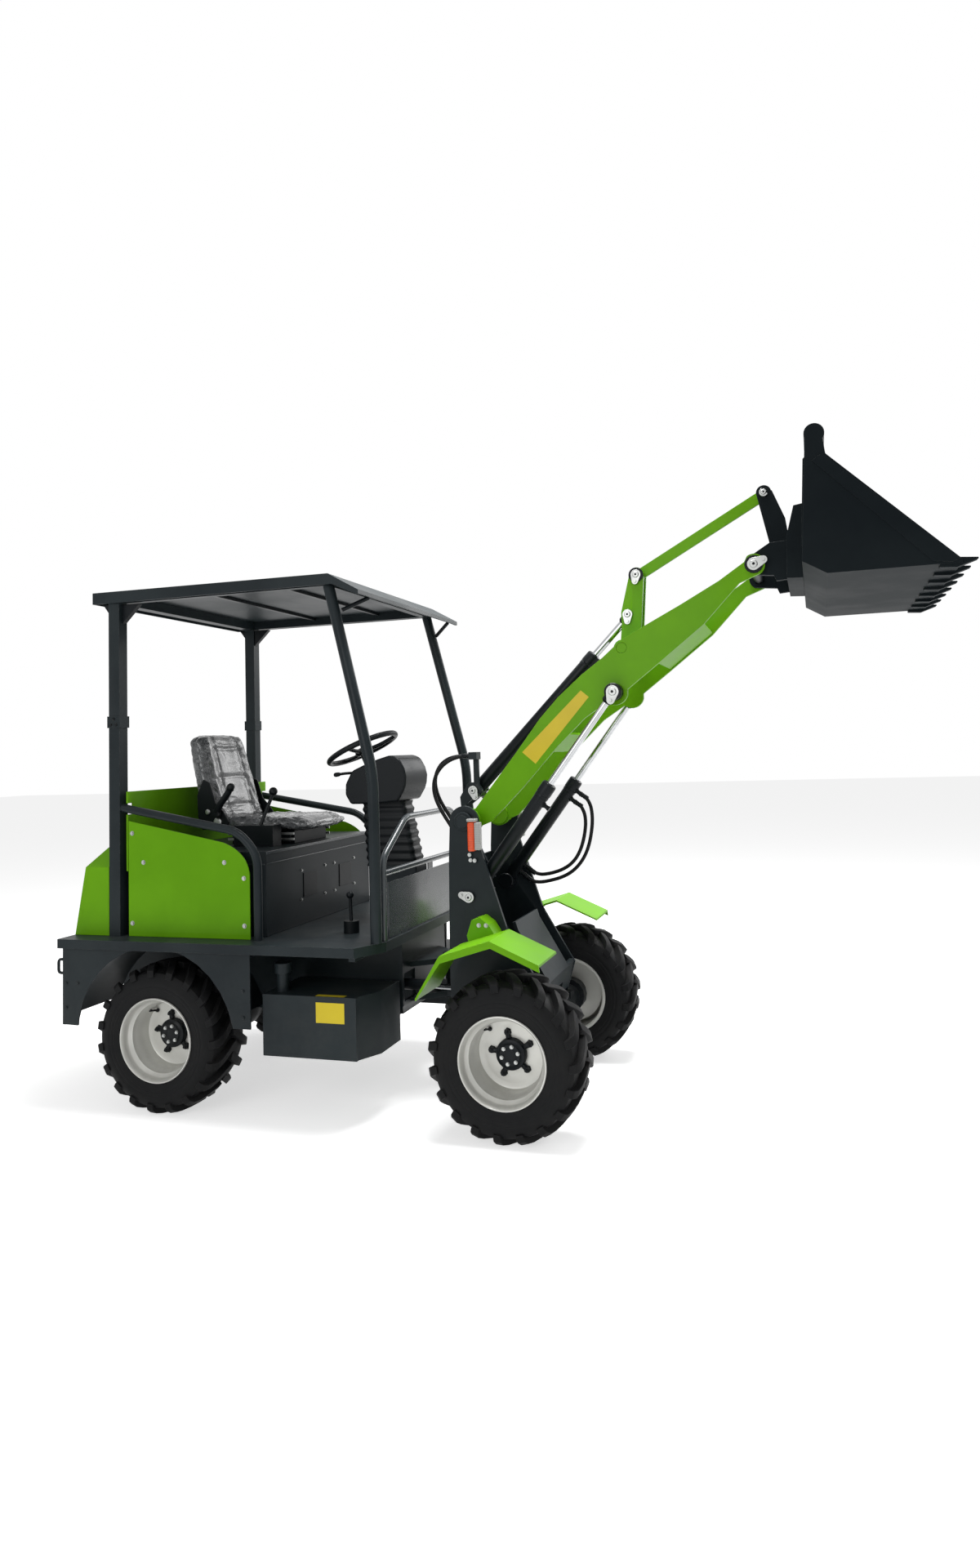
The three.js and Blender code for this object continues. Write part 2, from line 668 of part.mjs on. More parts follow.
function steeringWheel() {
  const profile = [];
  for (let i = 0; i < 8; i++) {
    const a = (i / 8) * Math.PI * 2;
    profile.push(
      new THREE.Vector2(HELM_R + HELM_TUBE_R * Math.cos(a), HELM_TUBE_R * Math.sin(a)),
    );
  }
  profile.push(profile[0]);
  const rim = solid(new THREE.LatheGeometry(profile, 28));
  const hub = rod([0, HELM_HUB_LOW, 0], [0, -6, 0], 42, 20);
  const spokes = [0, 1, 2].map((i) => {
    const a = (i * 2 * Math.PI) / 3 + 0.5;
    return rod([0, -18, 0], [HELM_R * Math.cos(a), 0, HELM_R * Math.sin(a)], 9, 10);
  });
  return union(rim, hub, ...spokes);
}
const helm = new THREE.Group();
helm.quaternion.setFromUnitVectors(new THREE.Vector3(0, 1, 0), HELM_AXIS);
helm.position.set(...helmAt(0));
rear.add(helm);
add("steering_wheel", steeringWheel(), BLACK, helm);

function footLever() {
  const boot = rod([850, -400, DECK_Z + GAP], [850, -400, 850], 36, 16);
  const stem = rod([850, -400, 840], [846, -400, 960], 8, 10);
  const knob = ball([846, -400, 968], 18, 12);
  return union(boot, stem, knob);
}
add("floor_lever", footLever(), BLACK);

// ---- tanks under the step ------------------------------------------------
for (const side of [-1, 1]) {
  const outline = [[540, 330], [1000, 330], [1000, 680], [540, 680]].map(([x, y]) => [x, side * y]);
  const nose = [[990, 330], [1056, 330], [1056, 545], [990, 680]].map(([x, y]) => [x, side * y]);
  const tank = union(slab(outline, 295, TANK_Z), slab(nose, 295, TANK_Z));
  const neck = rod([600, side * 600, TANK_Z - 10], [600, side * 600, 650], 28, 20);
  const cap = rod([600, side * 600, 645], [600, side * 600, 690], 38, 20);
  const hangers = [[620, 660], [900, 940]].map(([a, b]) =>
    box(a, b, ...ys(side, FRAME_Y + GAP, 340), 420, TANK_Z - 10),
  );
  add(`tank_${sideName(side)}`, union(tank, neck, cap, ...hangers), CHARCOAL);
}

// ---- front frame ----------------------------------------------------------
function frontFrame() {
  const side = new THREE.Shape();
  side.moveTo(1308, FRAME_Z0);
  side.lineTo(1700, FRAME_Z0);
  side.lineTo(1745, 545);
  side.lineTo(1587, 813);
  side.lineTo(1473, 1170);
  side.lineTo(1465, 1300);
  side.absarc(BOOM_PIN[0], BOOM_PIN[1], 70, 0, Math.PI, false);
  side.lineTo(1316, 1132);
  side.lineTo(1308, 722);
  const towers = bothSides((s) => plate(side, ...ys(s, TOWER_Y0, TOWER_Y1)));
  const t = 12;
  // the nose is open on both sides above its waist, where the lift cylinders come down
  const nose = plate(
    [[1573, 820], [1587, 778], [1725, 548], [1690, FRAME_Z0 + 20], [1706, FRAME_Z0 + 20],
      [1741, 548], [1601, 786], [1589, 824]].reverse(),
    -TOWER_Y0 - 1, TOWER_Y0 + 1,
  );
  const slots = bothSides((s) => box(1500, 1760, ...ys(s, 190, TOWER_Y0), 560, 900));
  const back = box(1310, 1310 + t, -TOWER_Y0 - 1, TOWER_Y0 + 1, FRAME_Z0 + 20, 1100);
  const floor = box(1310, 1600, -TOWER_Y0 - 1, TOWER_Y0 + 1, FRAME_Z0 + 20, FRAME_Z0 + 34);
  const bracket = bothSides((s) =>
    plate(
      [[1322, 1000], [1420, 1000], [1330, 1180], [1310, 1360], [1400, 1430], [1380, 1470],
        [1330, 1470], [1285, 1400], [1310, 1090], [1310, 1000]].reverse(),
      ...ys(s, 42, 60),
    ),
  );
  const bracketPin = pin(TILT_BASE, TILT_PIN_R, -66, 66);
  const bracketFoot = box(1311, 1340, -60, 60, 1000, 1090);
  const bases = bothSides((s) =>
    pin(LIFT_BASE, LIFT_PIN_R, ...ys(s, LIFT_Y - 36, TOWER_Y1 + 12)));
  // the block that the tilt hoses leave, and the clip on the bracket that they end in
  const [hoseX, , hoseZ] = HOSES.tilt_hose_inner[0];
  const [clipX, , clipZ] = HOSES.tilt_hose_inner.at(-1);
  const hoseBlock = box(hoseX - 16, hoseX + 16, -140, -72, hoseZ - 50, hoseZ - GAP);
  const clipPost = box(1358, 1384, -59, -43, 1400, clipZ - 10);
  const clipHead = box(clipX + GAP, 1392, -106, -44, clipZ - 18, clipZ + 18);
  const lugs = [[575, 600 - GAP], [465 + GAP, 490]].map(([z0, z1]) => {
    const tongue = slab([[PIVOT_FRONT_X, -82], [1314, -140], [1314, 140], [PIVOT_FRONT_X, 82]], z0, z1);
    return union(tongue, rod([PIVOT_FRONT_X, 0, z0], [PIVOT_FRONT_X, 0, z1], 85, 20));
  });
  const steer = union(
    box(1290, 1360, -250, -210, STEER_Z - 60, STEER_Z - 32),
    rod([...STEER_EYE, STEER_Z - 60.5], [...STEER_EYE, STEER_Z - 32], 32, 16),
  );
  let body = union(
    nose, back, floor, ...bracket, bracketPin, bracketFoot, ...lugs, hoseBlock, clipPost, clipHead,
  );
  body = body.subtract(rod([PIVOT_FRONT_X, 0, 300], [PIVOT_FRONT_X, 0, 700], bore(PIVOT_PIN_R), 16));
  for (const slot of slots) body = body.subtract(slot);
  body = union(body, ...towers, ...bases).subtract(pin(BOOM_PIN, bore(BOOM_PIN_R), -400, 400));
  body = body.subtract(box(1530, 1800, -140, 140, 380, 480));
  const window = box(1280, 1330, -290, -160, STEER_Z - 70, STEER_Z + 70);
  return union(body.subtract(window), steer, box(1322, 1360, -305, -210, STEER_Z - 60, STEER_Z - 32));
}
add("front_frame", frontFrame(), CHARCOAL, front);

for (const side of [-1, 1]) {
  const top = [[1290, 582], [1403, 763], [1629, 832], [1839, 740]];
  const under = top.map(([x, z]) => [x + 2, z - 9]).reverse();
  const wing = plate([...top, ...under].reverse(), ...ys(side, 420, 710));
  // the outer lip runs out towards the rear end
  const lip = top.map(([x, z], i) => [x + 3, z - (i ? 30 : 9)]).reverse();
  const skirt = plate([...top, ...lip].reverse(), ...ys(side, 704, 710));
  const bracket = plate([[1494, 880], [1535, 850], [1566, 800], [1440, 765], [1432, 800],
    [1456, 868]], ...ys(side, TOWER_Y1 + GAP, 430));
  const slim = bracket.subtract(box(1400, 1600, ...ys(side, TOWER_Y1 + 10, 421), 700, 805));
  add(`front_fender_${sideName(side)}`, union(wing, skirt, slim), GREEN, front);
  const lens = box(1424, 1458, ...ys(side, TOWER_Y1 + GAP, TOWER_Y1 + 45), 1165, 1300);
  add(`turn_lamp_${sideName(side)}`, lens, AMBER, front);
}

// ---- steering cylinder ----------------------------------------------------
// It joins the two halves, so its eye is found in the drawing of the rear half.
const STEER_EYE_REAR = [STEER_EYE[0] + FRONT_SHIFT, STEER_EYE[1]];
function steeringCylinder() {
  const a = new THREE.Vector3(...STEER_BASE, STEER_Z);
  const b = new THREE.Vector3(...STEER_EYE_REAR, STEER_Z);
  const at = (d) => a.clone().add(b.clone().sub(a).setLength(d)).toArray();
  const length = a.distanceTo(b);
  const eye = rod([...STEER_BASE, STEER_Z - 30], [...STEER_BASE, STEER_Z + 30], 28, 20);
  const hole = rod([...STEER_BASE, STEER_Z - 50], [...STEER_BASE, STEER_Z + 50], 14 + GAP, 20);
  const inside = rod(at(60), at(400), 13 + GAP, 16);
  const tube = rod(at(10), at(360), 26, 24);
  add("steer_barrel", union(eye, tube).subtract(hole).subtract(inside), BLACK);
  const end = rod([...STEER_EYE_REAR, STEER_Z - 32 + GAP], [...STEER_EYE_REAR, STEER_Z + 30], 28, 20);
  add("steer_rod", union(rod(at(180), at(length - 5), 13, 16), end), CHROME);
}
steeringCylinder();

// ---- boom -----------------------------------------------------------------
function boom() {
  const face = new THREE.Shape();
  face.moveTo(1380, 1320);
  face.lineTo(1421, 1352);
  face.lineTo(1640, 1622);
  face.lineTo(1749, 1762);
  face.lineTo(1840, 1858);
  face.lineTo(1954, 1956);
  face.lineTo(2056, 2030);
  face.lineTo(2140, 2102);
  face.lineTo(2242, 2157);
  face.lineTo(2421, 2248);
  face.lineTo(2593, 2341);
  face.lineTo(2705, 2415);
  face.absarc(BUCKET_PIN[0], BUCKET_PIN[1], 48, 2.2, -1.2, true);
  face.lineTo(2681, 2325);
  face.lineTo(2515, 2150);
  face.lineTo(2303, 1985);
  face.lineTo(2165, 1880);
  face.absarc(LIFT_EYE[0], LIFT_EYE[1], 58, -0.2, -2.3, true);
  face.lineTo(1962, 1757);
  face.lineTo(1824, 1626);
  face.lineTo(1658, 1447);
  face.lineTo(1500, 1292);
  face.absarc(BOOM_PIN[0], BOOM_PIN[1], 60, -0.5, -3.6, true);
  const plates = bothSides((s) => plate(face, ...ys(s, BOOM_Y - BOOM_T, BOOM_Y)));
  const belly = plate([[1792, 1606], [1866, 1686], [1856, 1696], [1782, 1616]],
    -BOOM_Y + 2, BOOM_Y - 2);
  const front = plate([[2303, 1993], [2515, 2158], [2508, 2170], [2296, 2005]],
    -BOOM_Y + 2, BOOM_Y - 2);
  const hubs = bothSides((s) => pin(BOOM_PIN, 52, ...ys(s, BOOM_Y - 40, TOWER_Y0 - GAP)));
  const axles = bothSides((s) =>
    pin(BOOM_PIN, BOOM_PIN_R, ...ys(s, BOOM_Y - 30, TOWER_Y1 - 1)),
  );
  return union(...plates, belly, front, ...hubs, ...axles)
    .subtract(pin(LEVER_PIN, bore(LEVER_PIN_R), -300, 300))
    .subtract(pin(BUCKET_PIN, bore(BUCKET_PIN_R), -300, 300));
}
add("boom", boom(), GREEN, front);

// Bell crank on two short pins, so that the rod can pass between them.
const LEVER_Y0 = 26;
const LEVER_Y1 = 44;
for (const side of [-1, 1]) {
  add(`lever_pin_${sideName(side)}`,
    pin(LEVER_PIN, LEVER_PIN_R, ...ys(side, 70, BOOM_Y - 1)), SILVER, front);
}
function lever() {
  const face = new THREE.Shape();
  face.moveTo(LEVER_PIN[0] - 40, LEVER_PIN[1]);
  face.lineTo(TILT_EYE[0] - 30, TILT_EYE[1] - 45);
  face.lineTo(TILT_EYE[0] - 31, TILT_EYE[1] + 12);
  face.lineTo(LINK_REAR[0] - 36, LINK_REAR[1] - 10);
  face.absarc(LINK_REAR[0], LINK_REAR[1], 36, Math.PI, 0, true);
  face.lineTo(2211, 2189);
  face.lineTo(LEVER_PIN[0] + 44, LEVER_PIN[1] + 60);
  face.lineTo(LEVER_PIN[0] + 40, LEVER_PIN[1]);
  face.absarc(LEVER_PIN[0], LEVER_PIN[1], 40, 0, -Math.PI, true);
  const cheeks = bothSides((s) => plate(face, ...ys(s, LEVER_Y0, LEVER_Y1)));
  const hubs = bothSides((s) =>
    pin(LEVER_PIN, 40, ...ys(s, LEVER_Y0, BOOM_Y - BOOM_T - GAP)));
  const middle = pin(LEVER_PIN, 40, -LEVER_Y0 - 1, LEVER_Y0 + 1);
  const flags = bothSides((s) => pin(TILT_EYE, 26, ...ys(s, LEVER_Y1 - 1, LEVER_Y1 + 6)));
  return union(...cheeks, ...hubs, middle, ...flags)
    .subtract(pin(LEVER_PIN, bore(LEVER_PIN_R), -300, 300))
    .subtract(pin(LINK_REAR, bore(LINK_PIN_R), -300, 300));
}
add("lever", lever(), GREEN, front);

add("link_pin", union(
  pin(LINK_REAR, LINK_PIN_R, -LEVER_Y1 - 6, LEVER_Y1 + 6),
  pin(LINK_REAR, 35, LEVER_Y1 + GAP, LEVER_Y1 + 8),
  pin(LINK_REAR, 35, -LEVER_Y1 - 8, -LEVER_Y1 - GAP),
), SILVER, front);

const LINK_HALF_Y = 20;
const LINK_BAR_Y = 8;
function tiltLink() {
  const a = LINK_REAR;
  const b = LINK_FRONT;
  const l = Math.hypot(b[0] - a[0], b[1] - a[1]);
  const n = [(-(b[1] - a[1]) * 25) / l, ((b[0] - a[0]) * 25) / l];
  const bar = plate(
    [[a[0] - n[0], a[1] - n[1]], [b[0] - n[0], b[1] - n[1]], [b[0] + n[0], b[1] + n[1]],
      [a[0] + n[0], a[1] + n[1]]],
    -LINK_BAR_Y, LINK_BAR_Y,
  );
  return union(bar, pin(a, 32, -LINK_HALF_Y, LINK_HALF_Y), pin(b, 30, -LINK_HALF_Y, LINK_HALF_Y))
    .subtract(pin(a, bore(LINK_PIN_R), -60, 60))
    .subtract(pin(b, bore(LINK_PIN_R), -60, 60));
}
add("tilt_link", tiltLink(), GREEN, front);

// ---- cylinders of the boom --------------------------------------------------
// A barrel on its foot pin and a rod that ends in its eye. rodIn is how far the rod's inner end
// stands from the foot, so that the piston still clears the foot with the cylinder closed.
function cylinder({
  name, base, eye, y, r, rodR, length, rodIn, eyeR, eyeY, pinR, footR, footY, ports = [],
}) {
  const full = Math.hypot(eye[0] - base[0], eye[1] - base[1]);
  const at = (d) => {
    const [x, z] = along(base, eye, d);
    return [x, y, z];
  };
  const foot = pin(base, footR, y - footY, y + footY);
  const tube = rod(at(20), at(length), r, 16);
  const neck = rod(at(length - 60), at(length), r + 3, 16);
  // a port stands square on the barrel's lower side, and a hose ends on its face
  const lower = [(eye[1] - base[1]) / full, -(eye[0] - base[0]) / full];
  const fittings = ports.map((d) => {
    const [x, , z] = at(d);
    const reach = PORT_REACH - GAP;
    return rod([x, y, z], [x + lower[0] * reach, y, z + lower[1] * reach], 12, 12);
  });
  const barrel = union(foot, tube, neck, ...fittings)
    .subtract(rod(at(footR + 24), at(length + 5), rodR + GAP, 12))
    .subtract(pin(base, bore(pinR), y - 60, y + 60));
  const suffix = y ? (y < 0 ? "_right" : "_left") : "";
  add(`${name}_barrel${suffix}`, barrel, BLACK, front);
  const shaft = rod(at(rodIn), at(full - 10), rodR, 12);
  add(`${name}_rod${suffix}`, union(shaft, pin(eye, eyeR, ...eyeY)), CHROME, front);
}
for (const side of [-1, 1]) {
  cylinder({
    name: "lift", base: LIFT_BASE, eye: LIFT_EYE, y: side * LIFT_Y, r: LIFT_BARREL_R, rodR: 16,
    length: LIFT_BARREL_L, rodIn: 495, eyeR: 40, eyeY: ys(side, BOOM_Y + GAP, LIFT_Y + 22),
    pinR: LIFT_PIN_R, footR: 40, footY: TOWER_Y0 - GAP - LIFT_Y,
    ports: side > 0 ? [78, 120, 540, 590] : [],
  });
}
for (const [name, points] of Object.entries(HOSES)) {
  add(name, sweep(points.map((p) => new THREE.Vector3(...p)), HOSE_R, 8), RUBBER, front);
}
cylinder({
  name: "tilt", base: TILT_BASE, eye: TILT_EYE, y: 0, r: TILT_BARREL_R - 3, rodR: 17,
  length: TILT_BARREL_L, rodIn: 620, eyeR: 30, eyeY: [-22, 22], pinR: TILT_PIN_R, footR: 38,
  footY: 41.7,
});

// ---- coupler and bucket -------------------------------------------------------
add("bucket_pin", union(
  pin(BUCKET_PIN, BUCKET_PIN_R, -BOOM_Y - 6, BOOM_Y + 6),
  pin(BUCKET_PIN, 40, BOOM_Y + GAP, BOOM_Y + 10),
  pin(BUCKET_PIN, 40, -BOOM_Y - 10, -BOOM_Y - GAP),
), SILVER, front);

function coupler() {
  const ear = new THREE.Shape();
  ear.moveTo(LINK_FRONT[0] - 34, LINK_FRONT[1]);
  ear.lineTo(2811, 2525);
  ear.lineTo(2850, 2480);
  ear.lineTo(2905, 2480);
  ear.lineTo(2885, 2634);
  ear.lineTo(LINK_FRONT[0] + 36, LINK_FRONT[1] + 8);
  ear.absarc(LINK_FRONT[0], LINK_FRONT[1], 34, 0.2, Math.PI, false);
  const ears = bothSides((s) => plate(ear, ...ys(s, LEVER_Y0, LEVER_Y1)));
  const low = new THREE.Shape();
  low.moveTo(BUCKET_PIN[0] - 20, BUCKET_PIN[1] - 40);
  low.absarc(BUCKET_PIN[0], BUCKET_PIN[1], 45, -2.0, 1.9, true);
  low.lineTo(2815, 2495);
  low.lineTo(2900, 2500);
  low.lineTo(2900, 2330);
  low.lineTo(2838, 2325);
  low.lineTo(2828, 2350);
  const cheeks = bothSides((s) => plate(low, ...ys(s, 180, BOOM_Y - BOOM_T - GAP)));
  const frame = plate([[2884, 2320], [2960, 2316], [2978, 2640], [2925, 2632], [2890, 2500]],
    -290, 290);
  const hinge = pin(LINK_FRONT, LINK_PIN_R, -LEVER_Y1 - 6, LEVER_Y1 + 6);
  return union(...ears, ...cheeks, frame, hinge)
    .subtract(pin(BUCKET_PIN, bore(BUCKET_PIN_R), -300, 300));
}

const BACK = [[2951, 2314], [2986, 2824]];
function bucket() {
  const t = BUCKET_T;
  const shell = plate(
    [[2951, 2314], [3042, 2260], [3519, 2261], [3519, 2261 + t], [3045, 2260 + t],
      [2964, 2321], [2999, 2824], [2986, 2824]],
    -BUCKET_Y, BUCKET_Y,
  );
  const cheeks = bothSides((s) =>
    plate(
      [[2951, 2314], [3042, 2260], [3519, 2261], [3519, 2273], [3058, 2727], [3050, 2800],
        [2986, 2824]],
      ...ys(s, BUCKET_Y - t, BUCKET_Y),
    ),
  );
  const guard = pin([3020, 2812], 39, -BUCKET_Y, BUCKET_Y, 24);
  const teeth = [];
  for (let i = 0; i < 8; i++) {
    const y = -BUCKET_Y + 30 + (i * (2 * BUCKET_Y - 60)) / 7;
    teeth.push(
      plate([[3440, 2250], [3500, 2246], [3573, 2272], [3573, 2278], [3500, 2284], [3440, 2284]],
        y - 22, y + 22),
    );
  }
  return union(shell, ...cheeks, guard, ...teeth);
}
const bucketBody = bucket();
add("bucket", bucketBody, CHARCOAL, front);
{
  // the coupler's frame stops short of the bucket's sloping back
  const keep = plate(
    [[2600, 2200], [BACK[0][0] - 8, 2200], [BACK[0][0] - GAP, BACK[0][1]],
      [BACK[1][0] - GAP, BACK[1][1]], [2600, 2900]],
    -400, 400,
  );
  add("coupler", coupler().intersect(keep), CHARCOAL, front);
}

export default loader;
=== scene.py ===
"""Compact articulated wheel loader: camera, hoses, lights, finishes and every visible piece."""

import json
import math

import bmesh
import bpy
from mathutils import Matrix, Vector, noise


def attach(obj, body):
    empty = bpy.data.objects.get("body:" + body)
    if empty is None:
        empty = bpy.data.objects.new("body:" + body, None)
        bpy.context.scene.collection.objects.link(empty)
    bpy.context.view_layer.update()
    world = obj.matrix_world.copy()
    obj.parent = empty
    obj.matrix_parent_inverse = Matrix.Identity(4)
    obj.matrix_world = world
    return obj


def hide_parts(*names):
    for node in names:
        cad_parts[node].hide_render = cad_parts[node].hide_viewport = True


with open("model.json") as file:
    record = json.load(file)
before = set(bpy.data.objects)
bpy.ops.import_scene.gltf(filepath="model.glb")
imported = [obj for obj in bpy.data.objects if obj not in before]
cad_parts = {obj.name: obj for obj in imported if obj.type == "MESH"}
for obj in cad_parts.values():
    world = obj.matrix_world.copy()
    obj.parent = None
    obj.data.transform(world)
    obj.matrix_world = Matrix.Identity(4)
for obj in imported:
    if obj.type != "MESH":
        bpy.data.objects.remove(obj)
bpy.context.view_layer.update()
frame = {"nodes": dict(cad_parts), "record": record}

MM = 0.001
MIDDLE_X = 1526.5  # the frame's X = 0, in millimetres ahead of the rear axle
BODY_OF = {
    node: body
    for body, nodes in frame["record"]["behaviour"]["bodies"].items()
    for node in nodes
}
SIDES = (-1, 1)
SIDE_NAME = {-1: "right", 1: "left"}
Y_AXIS = Vector((0, 1, 0))

# ---- sizes, in millimetres ------------------------------------------------
WHEELBASE = 1671
WHEEL_Y = 586.75
WHEEL_Z = 340
DECK_Z = 793
PANEL_Y = 634
TOWER_FACE = 340
HELM_CENTRE = (737, 0, 1654)
HELM_TILT = 0.42
HELM_R = 182
HELM_TUBE_R = 15
LIFT_Y = 267
BOOM_Y = 230
HOSE_R = 9

BOOM_PIN = (1395, 1300)
LIFT_BASE = (1413, 955)
LIFT_EYE = (2108, 1869)
TILT_BASE = (1355, 1430)
TILT_EYE = (2148, 2244)
LINK_REAR = (2195, 2430)
BUCKET_PIN = (2746, 2401)
LINK_FRONT = (2796, 2761)

HOSES = {
    "tilt_hose_inner": [
        (1300, -90, 1110.3), (1299, -90, 1150), (1293, -90, 1190), (1281, -90, 1232),
        (1262, -90, 1272), (1238, -90, 1311), (1213, -90, 1350), (1190, -90, 1391),
        (1174, -90, 1434), (1168, -89, 1479), (1176, -86, 1523), (1199, -82, 1562),
        (1236, -76, 1588), (1278, -67, 1599), (1318, -62, 1600), (1349.7, -62, 1600),
    ],
    "tilt_hose_outer": [
        (1300, -122, 1110.3), (1299, -122, 1150), (1290, -122, 1190), (1274, -121, 1230),
        (1252, -120, 1269), (1226, -119, 1308), (1202, -118, 1348), (1182, -117, 1390),
        (1171, -116, 1434), (1172, -114, 1479), (1187, -111, 1520), (1214, -106, 1555),
        (1249, -100, 1580), (1286, -92, 1594), (1320, -88, 1600), (1349.7, -88, 1600),
    ],
    "lift_hose_inner": [
        (1790.8, 267, 1346.1), (1814.7, 267, 1328), (1832, 267, 1290), (1836, 267, 1244),
        (1830, 267, 1195), (1819, 267, 1150), (1803, 267, 1107), (1780, 267, 1068),
        (1750, 267, 1037), (1713, 267, 1014), (1674, 267, 999), (1632, 267, 989),
        (1594, 267, 986), (1560.4, 267, 994.6), (1536.5, 267, 1011.8),
    ],
    "lift_hose_outer": [
        (1821.1, 267, 1385.9), (1845, 267, 1367.8), (1864, 267, 1332), (1871, 267, 1287),
        (1870, 267, 1239), (1863, 267, 1191), (1852, 267, 1144), (1835, 267, 1098),
        (1811, 267, 1056), (1779, 267, 1019), (1740, 267, 990), (1696, 267, 970),
        (1650, 267, 957), (1603, 267, 948), (1565, 267, 948), (1535, 267, 960),
        (1511.2, 267, 978.4),
    ],
}


def at(x, y, z):
    """A point of the drawing, in millimetres from the rear axle, in the frame's metres."""
    return Vector(((x - MIDDLE_X) * MM, y * MM, z * MM))


# ---- camera ---------------------------------------------------------------
CAMERA_PLACE = (1.4436, -4.7151, 1.6194)  # metres
CAMERA_TURNS = (17.5, -4.1, -1.8)  # azimuth, pitch and roll, in degrees
CAMERA_LENS = 22.967
CAMERA_SHIFT = (-0.00547, -0.0668)


def set_camera():
    azimuth, pitch, roll = (math.radians(a) for a in CAMERA_TURNS)
    forward = Vector((
        -math.sin(azimuth) * math.cos(pitch),
        math.cos(azimuth) * math.cos(pitch),
        -math.sin(pitch),
    ))
    level = Vector((math.cos(azimuth), math.sin(azimuth), 0))
    upright = level.cross(forward)
    right = math.cos(roll) * level + math.sin(roll) * upright
    up = math.cos(roll) * upright - math.sin(roll) * level
    data = bpy.data.cameras.new("camera")
    data.sensor_fit = "AUTO"
    data.sensor_width = 36
    data.lens = CAMERA_LENS
    data.shift_x, data.shift_y = CAMERA_SHIFT
    data.clip_end = 200
    camera = bpy.data.objects.new("camera", data)
    turn = Matrix((right, up, -forward)).transposed().to_4x4()
    camera.matrix_world = Matrix.Translation(CAMERA_PLACE) @ turn
    bpy.context.scene.collection.objects.link(camera)
    bpy.context.scene.camera = camera


# ---- mesh tools -----------------------------------------------------------
def circle(bm, centre, side, other, radius, steps):
    """A ring of vertices round centre, in the plane of the two directions."""
    turns = [2 * math.pi * i / steps for i in range(steps)]
    return [
        bm.verts.new(centre + (side * math.cos(t) + other * math.sin(t)) * (radius * MM))
        for t in turns
    ]


def join_rings(bm, rings):
    """Faces between each ring of vertices and the next."""
    for a, b in zip(rings, rings[1:]):
        for k in range(len(a)):
            m = (k + 1) % len(a)
            bm.faces.new((a[k], a[m], b[m], b[k]))


def lathe(bm, profile, origin, axis=Y_AXIS, steps=48, loop=False):
    """A turned shape: profile is (radius, distance along the axis from origin)."""
    axis = Vector(axis).normalized()
    side = axis.orthogonal().normalized()
    other = axis.cross(side)
    rings = []
    for radius, along in profile:
        centre = origin + axis * (along * MM)
        if radius == 0:
            rings.append([bm.verts.new(centre)])
            continue
        rings.append(circle(bm, centre, side, other, radius, steps))
    pairs = list(zip(rings, rings[1:]))
    if loop:
        pairs.append((rings[-1], rings[0]))
    for a, b in pairs:
        for i in range(steps):
            j = (i + 1) % steps
            corners = [a[i % len(a)], a[j % len(a)], b[j % len(b)], b[i % len(b)]]
            corners = list(dict.fromkeys(corners))
            if len(corners) > 2:
                bm.faces.new(corners)


def prism(bm, outline, y0, y1):
    """A plate from y0 to y1 whose outline is given in X and Z."""
    low = [bm.verts.new(at(x, y0, z)) for x, z in outline]
    high = [bm.verts.new(at(x, y1, z)) for x, z in outline]
    bm.faces.new(low)
    bm.faces.new(list(reversed(high)))
    for i in range(len(outline)):
        j = (i + 1) % len(outline)
        bm.faces.new((low[j], low[i], high[i], high[j]))


def block(bm, x0, x1, y0, y1, z0, z1):
    prism(bm, [(x0, z0), (x1, z0), (x1, z1), (x0, z1)], y0, y1)


def pin_profile(radius, half, edge=3):
    """The section of a pin or eye of half length half, its edges broken by edge."""
    return [(0, -half), (radius - edge, -half), (radius, edge - half), (radius, half - edge),
            (radius - edge, half), (0, half)]


def tube(bm, points, radius, sides=14):
    """A round bar along points, in metres, closed at both ends."""
    count = len(points)
    rings = []
    side = None
    for i, here in enumerate(points):
        ahead = points[min(i + 1, count - 1)] - points[max(i - 1, 0)]
        ahead.normalize()
        if side is None:
            side = ahead.orthogonal().normalized()
        side = (side - ahead * side.dot(ahead)).normalized()
        rings.append(circle(bm, here, side, ahead.cross(side), radius, sides))
    join_rings(bm, rings)
    bm.faces.new(list(reversed(rings[0])))
    bm.faces.new(rings[-1])


def smooth_route(points, between=4):
    """A smooth line through points, with more points between each two."""
    ends = [points[0] * 2 - points[1]] + list(points) + [points[-1] * 2 - points[-2]]
    route = []
    for a, b, c, d in zip(ends, ends[1:], ends[2:], ends[3:]):
        for k in range(between):
            t = k / between
            route.append(
                0.5 * ((2 * b) + (c - a) * t + (2 * a - 5 * b + 4 * c - d) * t * t
                       + (3 * b - a - 3 * c + d) * t ** 3)
            )
    route.append(points[-1].copy())
    return route


def finish_mesh(name, bm, sharp=32, merge=0.00002):
    bmesh.ops.remove_doubles(bm, verts=bm.verts, dist=merge)
    bmesh.ops.recalc_face_normals(bm, faces=bm.faces)
    mesh = bpy.data.meshes.new(name)
    bm.to_mesh(mesh)
    bm.free()
    mesh.shade_smooth()
    mesh.set_sharp_from_angle(angle=math.radians(sharp))
    return mesh


def place(name, mesh, body, material, stands_for=(), bevel=0.0, segments=2, angle=32):
    """Puts a finished mesh in the scene as a piece that rides on a body."""
    obj = bpy.data.objects.new(name, mesh)
    bpy.context.scene.collection.objects.link(obj)
    mesh.materials.clear()
    mesh.materials.append(material)
    if bevel:
        rounding = obj.modifiers.new("Rounded edges", "BEVEL")
        rounding.width = bevel * MM
        rounding.segments = segments
        rounding.limit_method = "ANGLE"
        rounding.angle_limit = math.radians(angle)
        rounding.harden_normals = True
    if stands_for:
        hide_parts(*stands_for)
    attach(obj, body)
    return obj


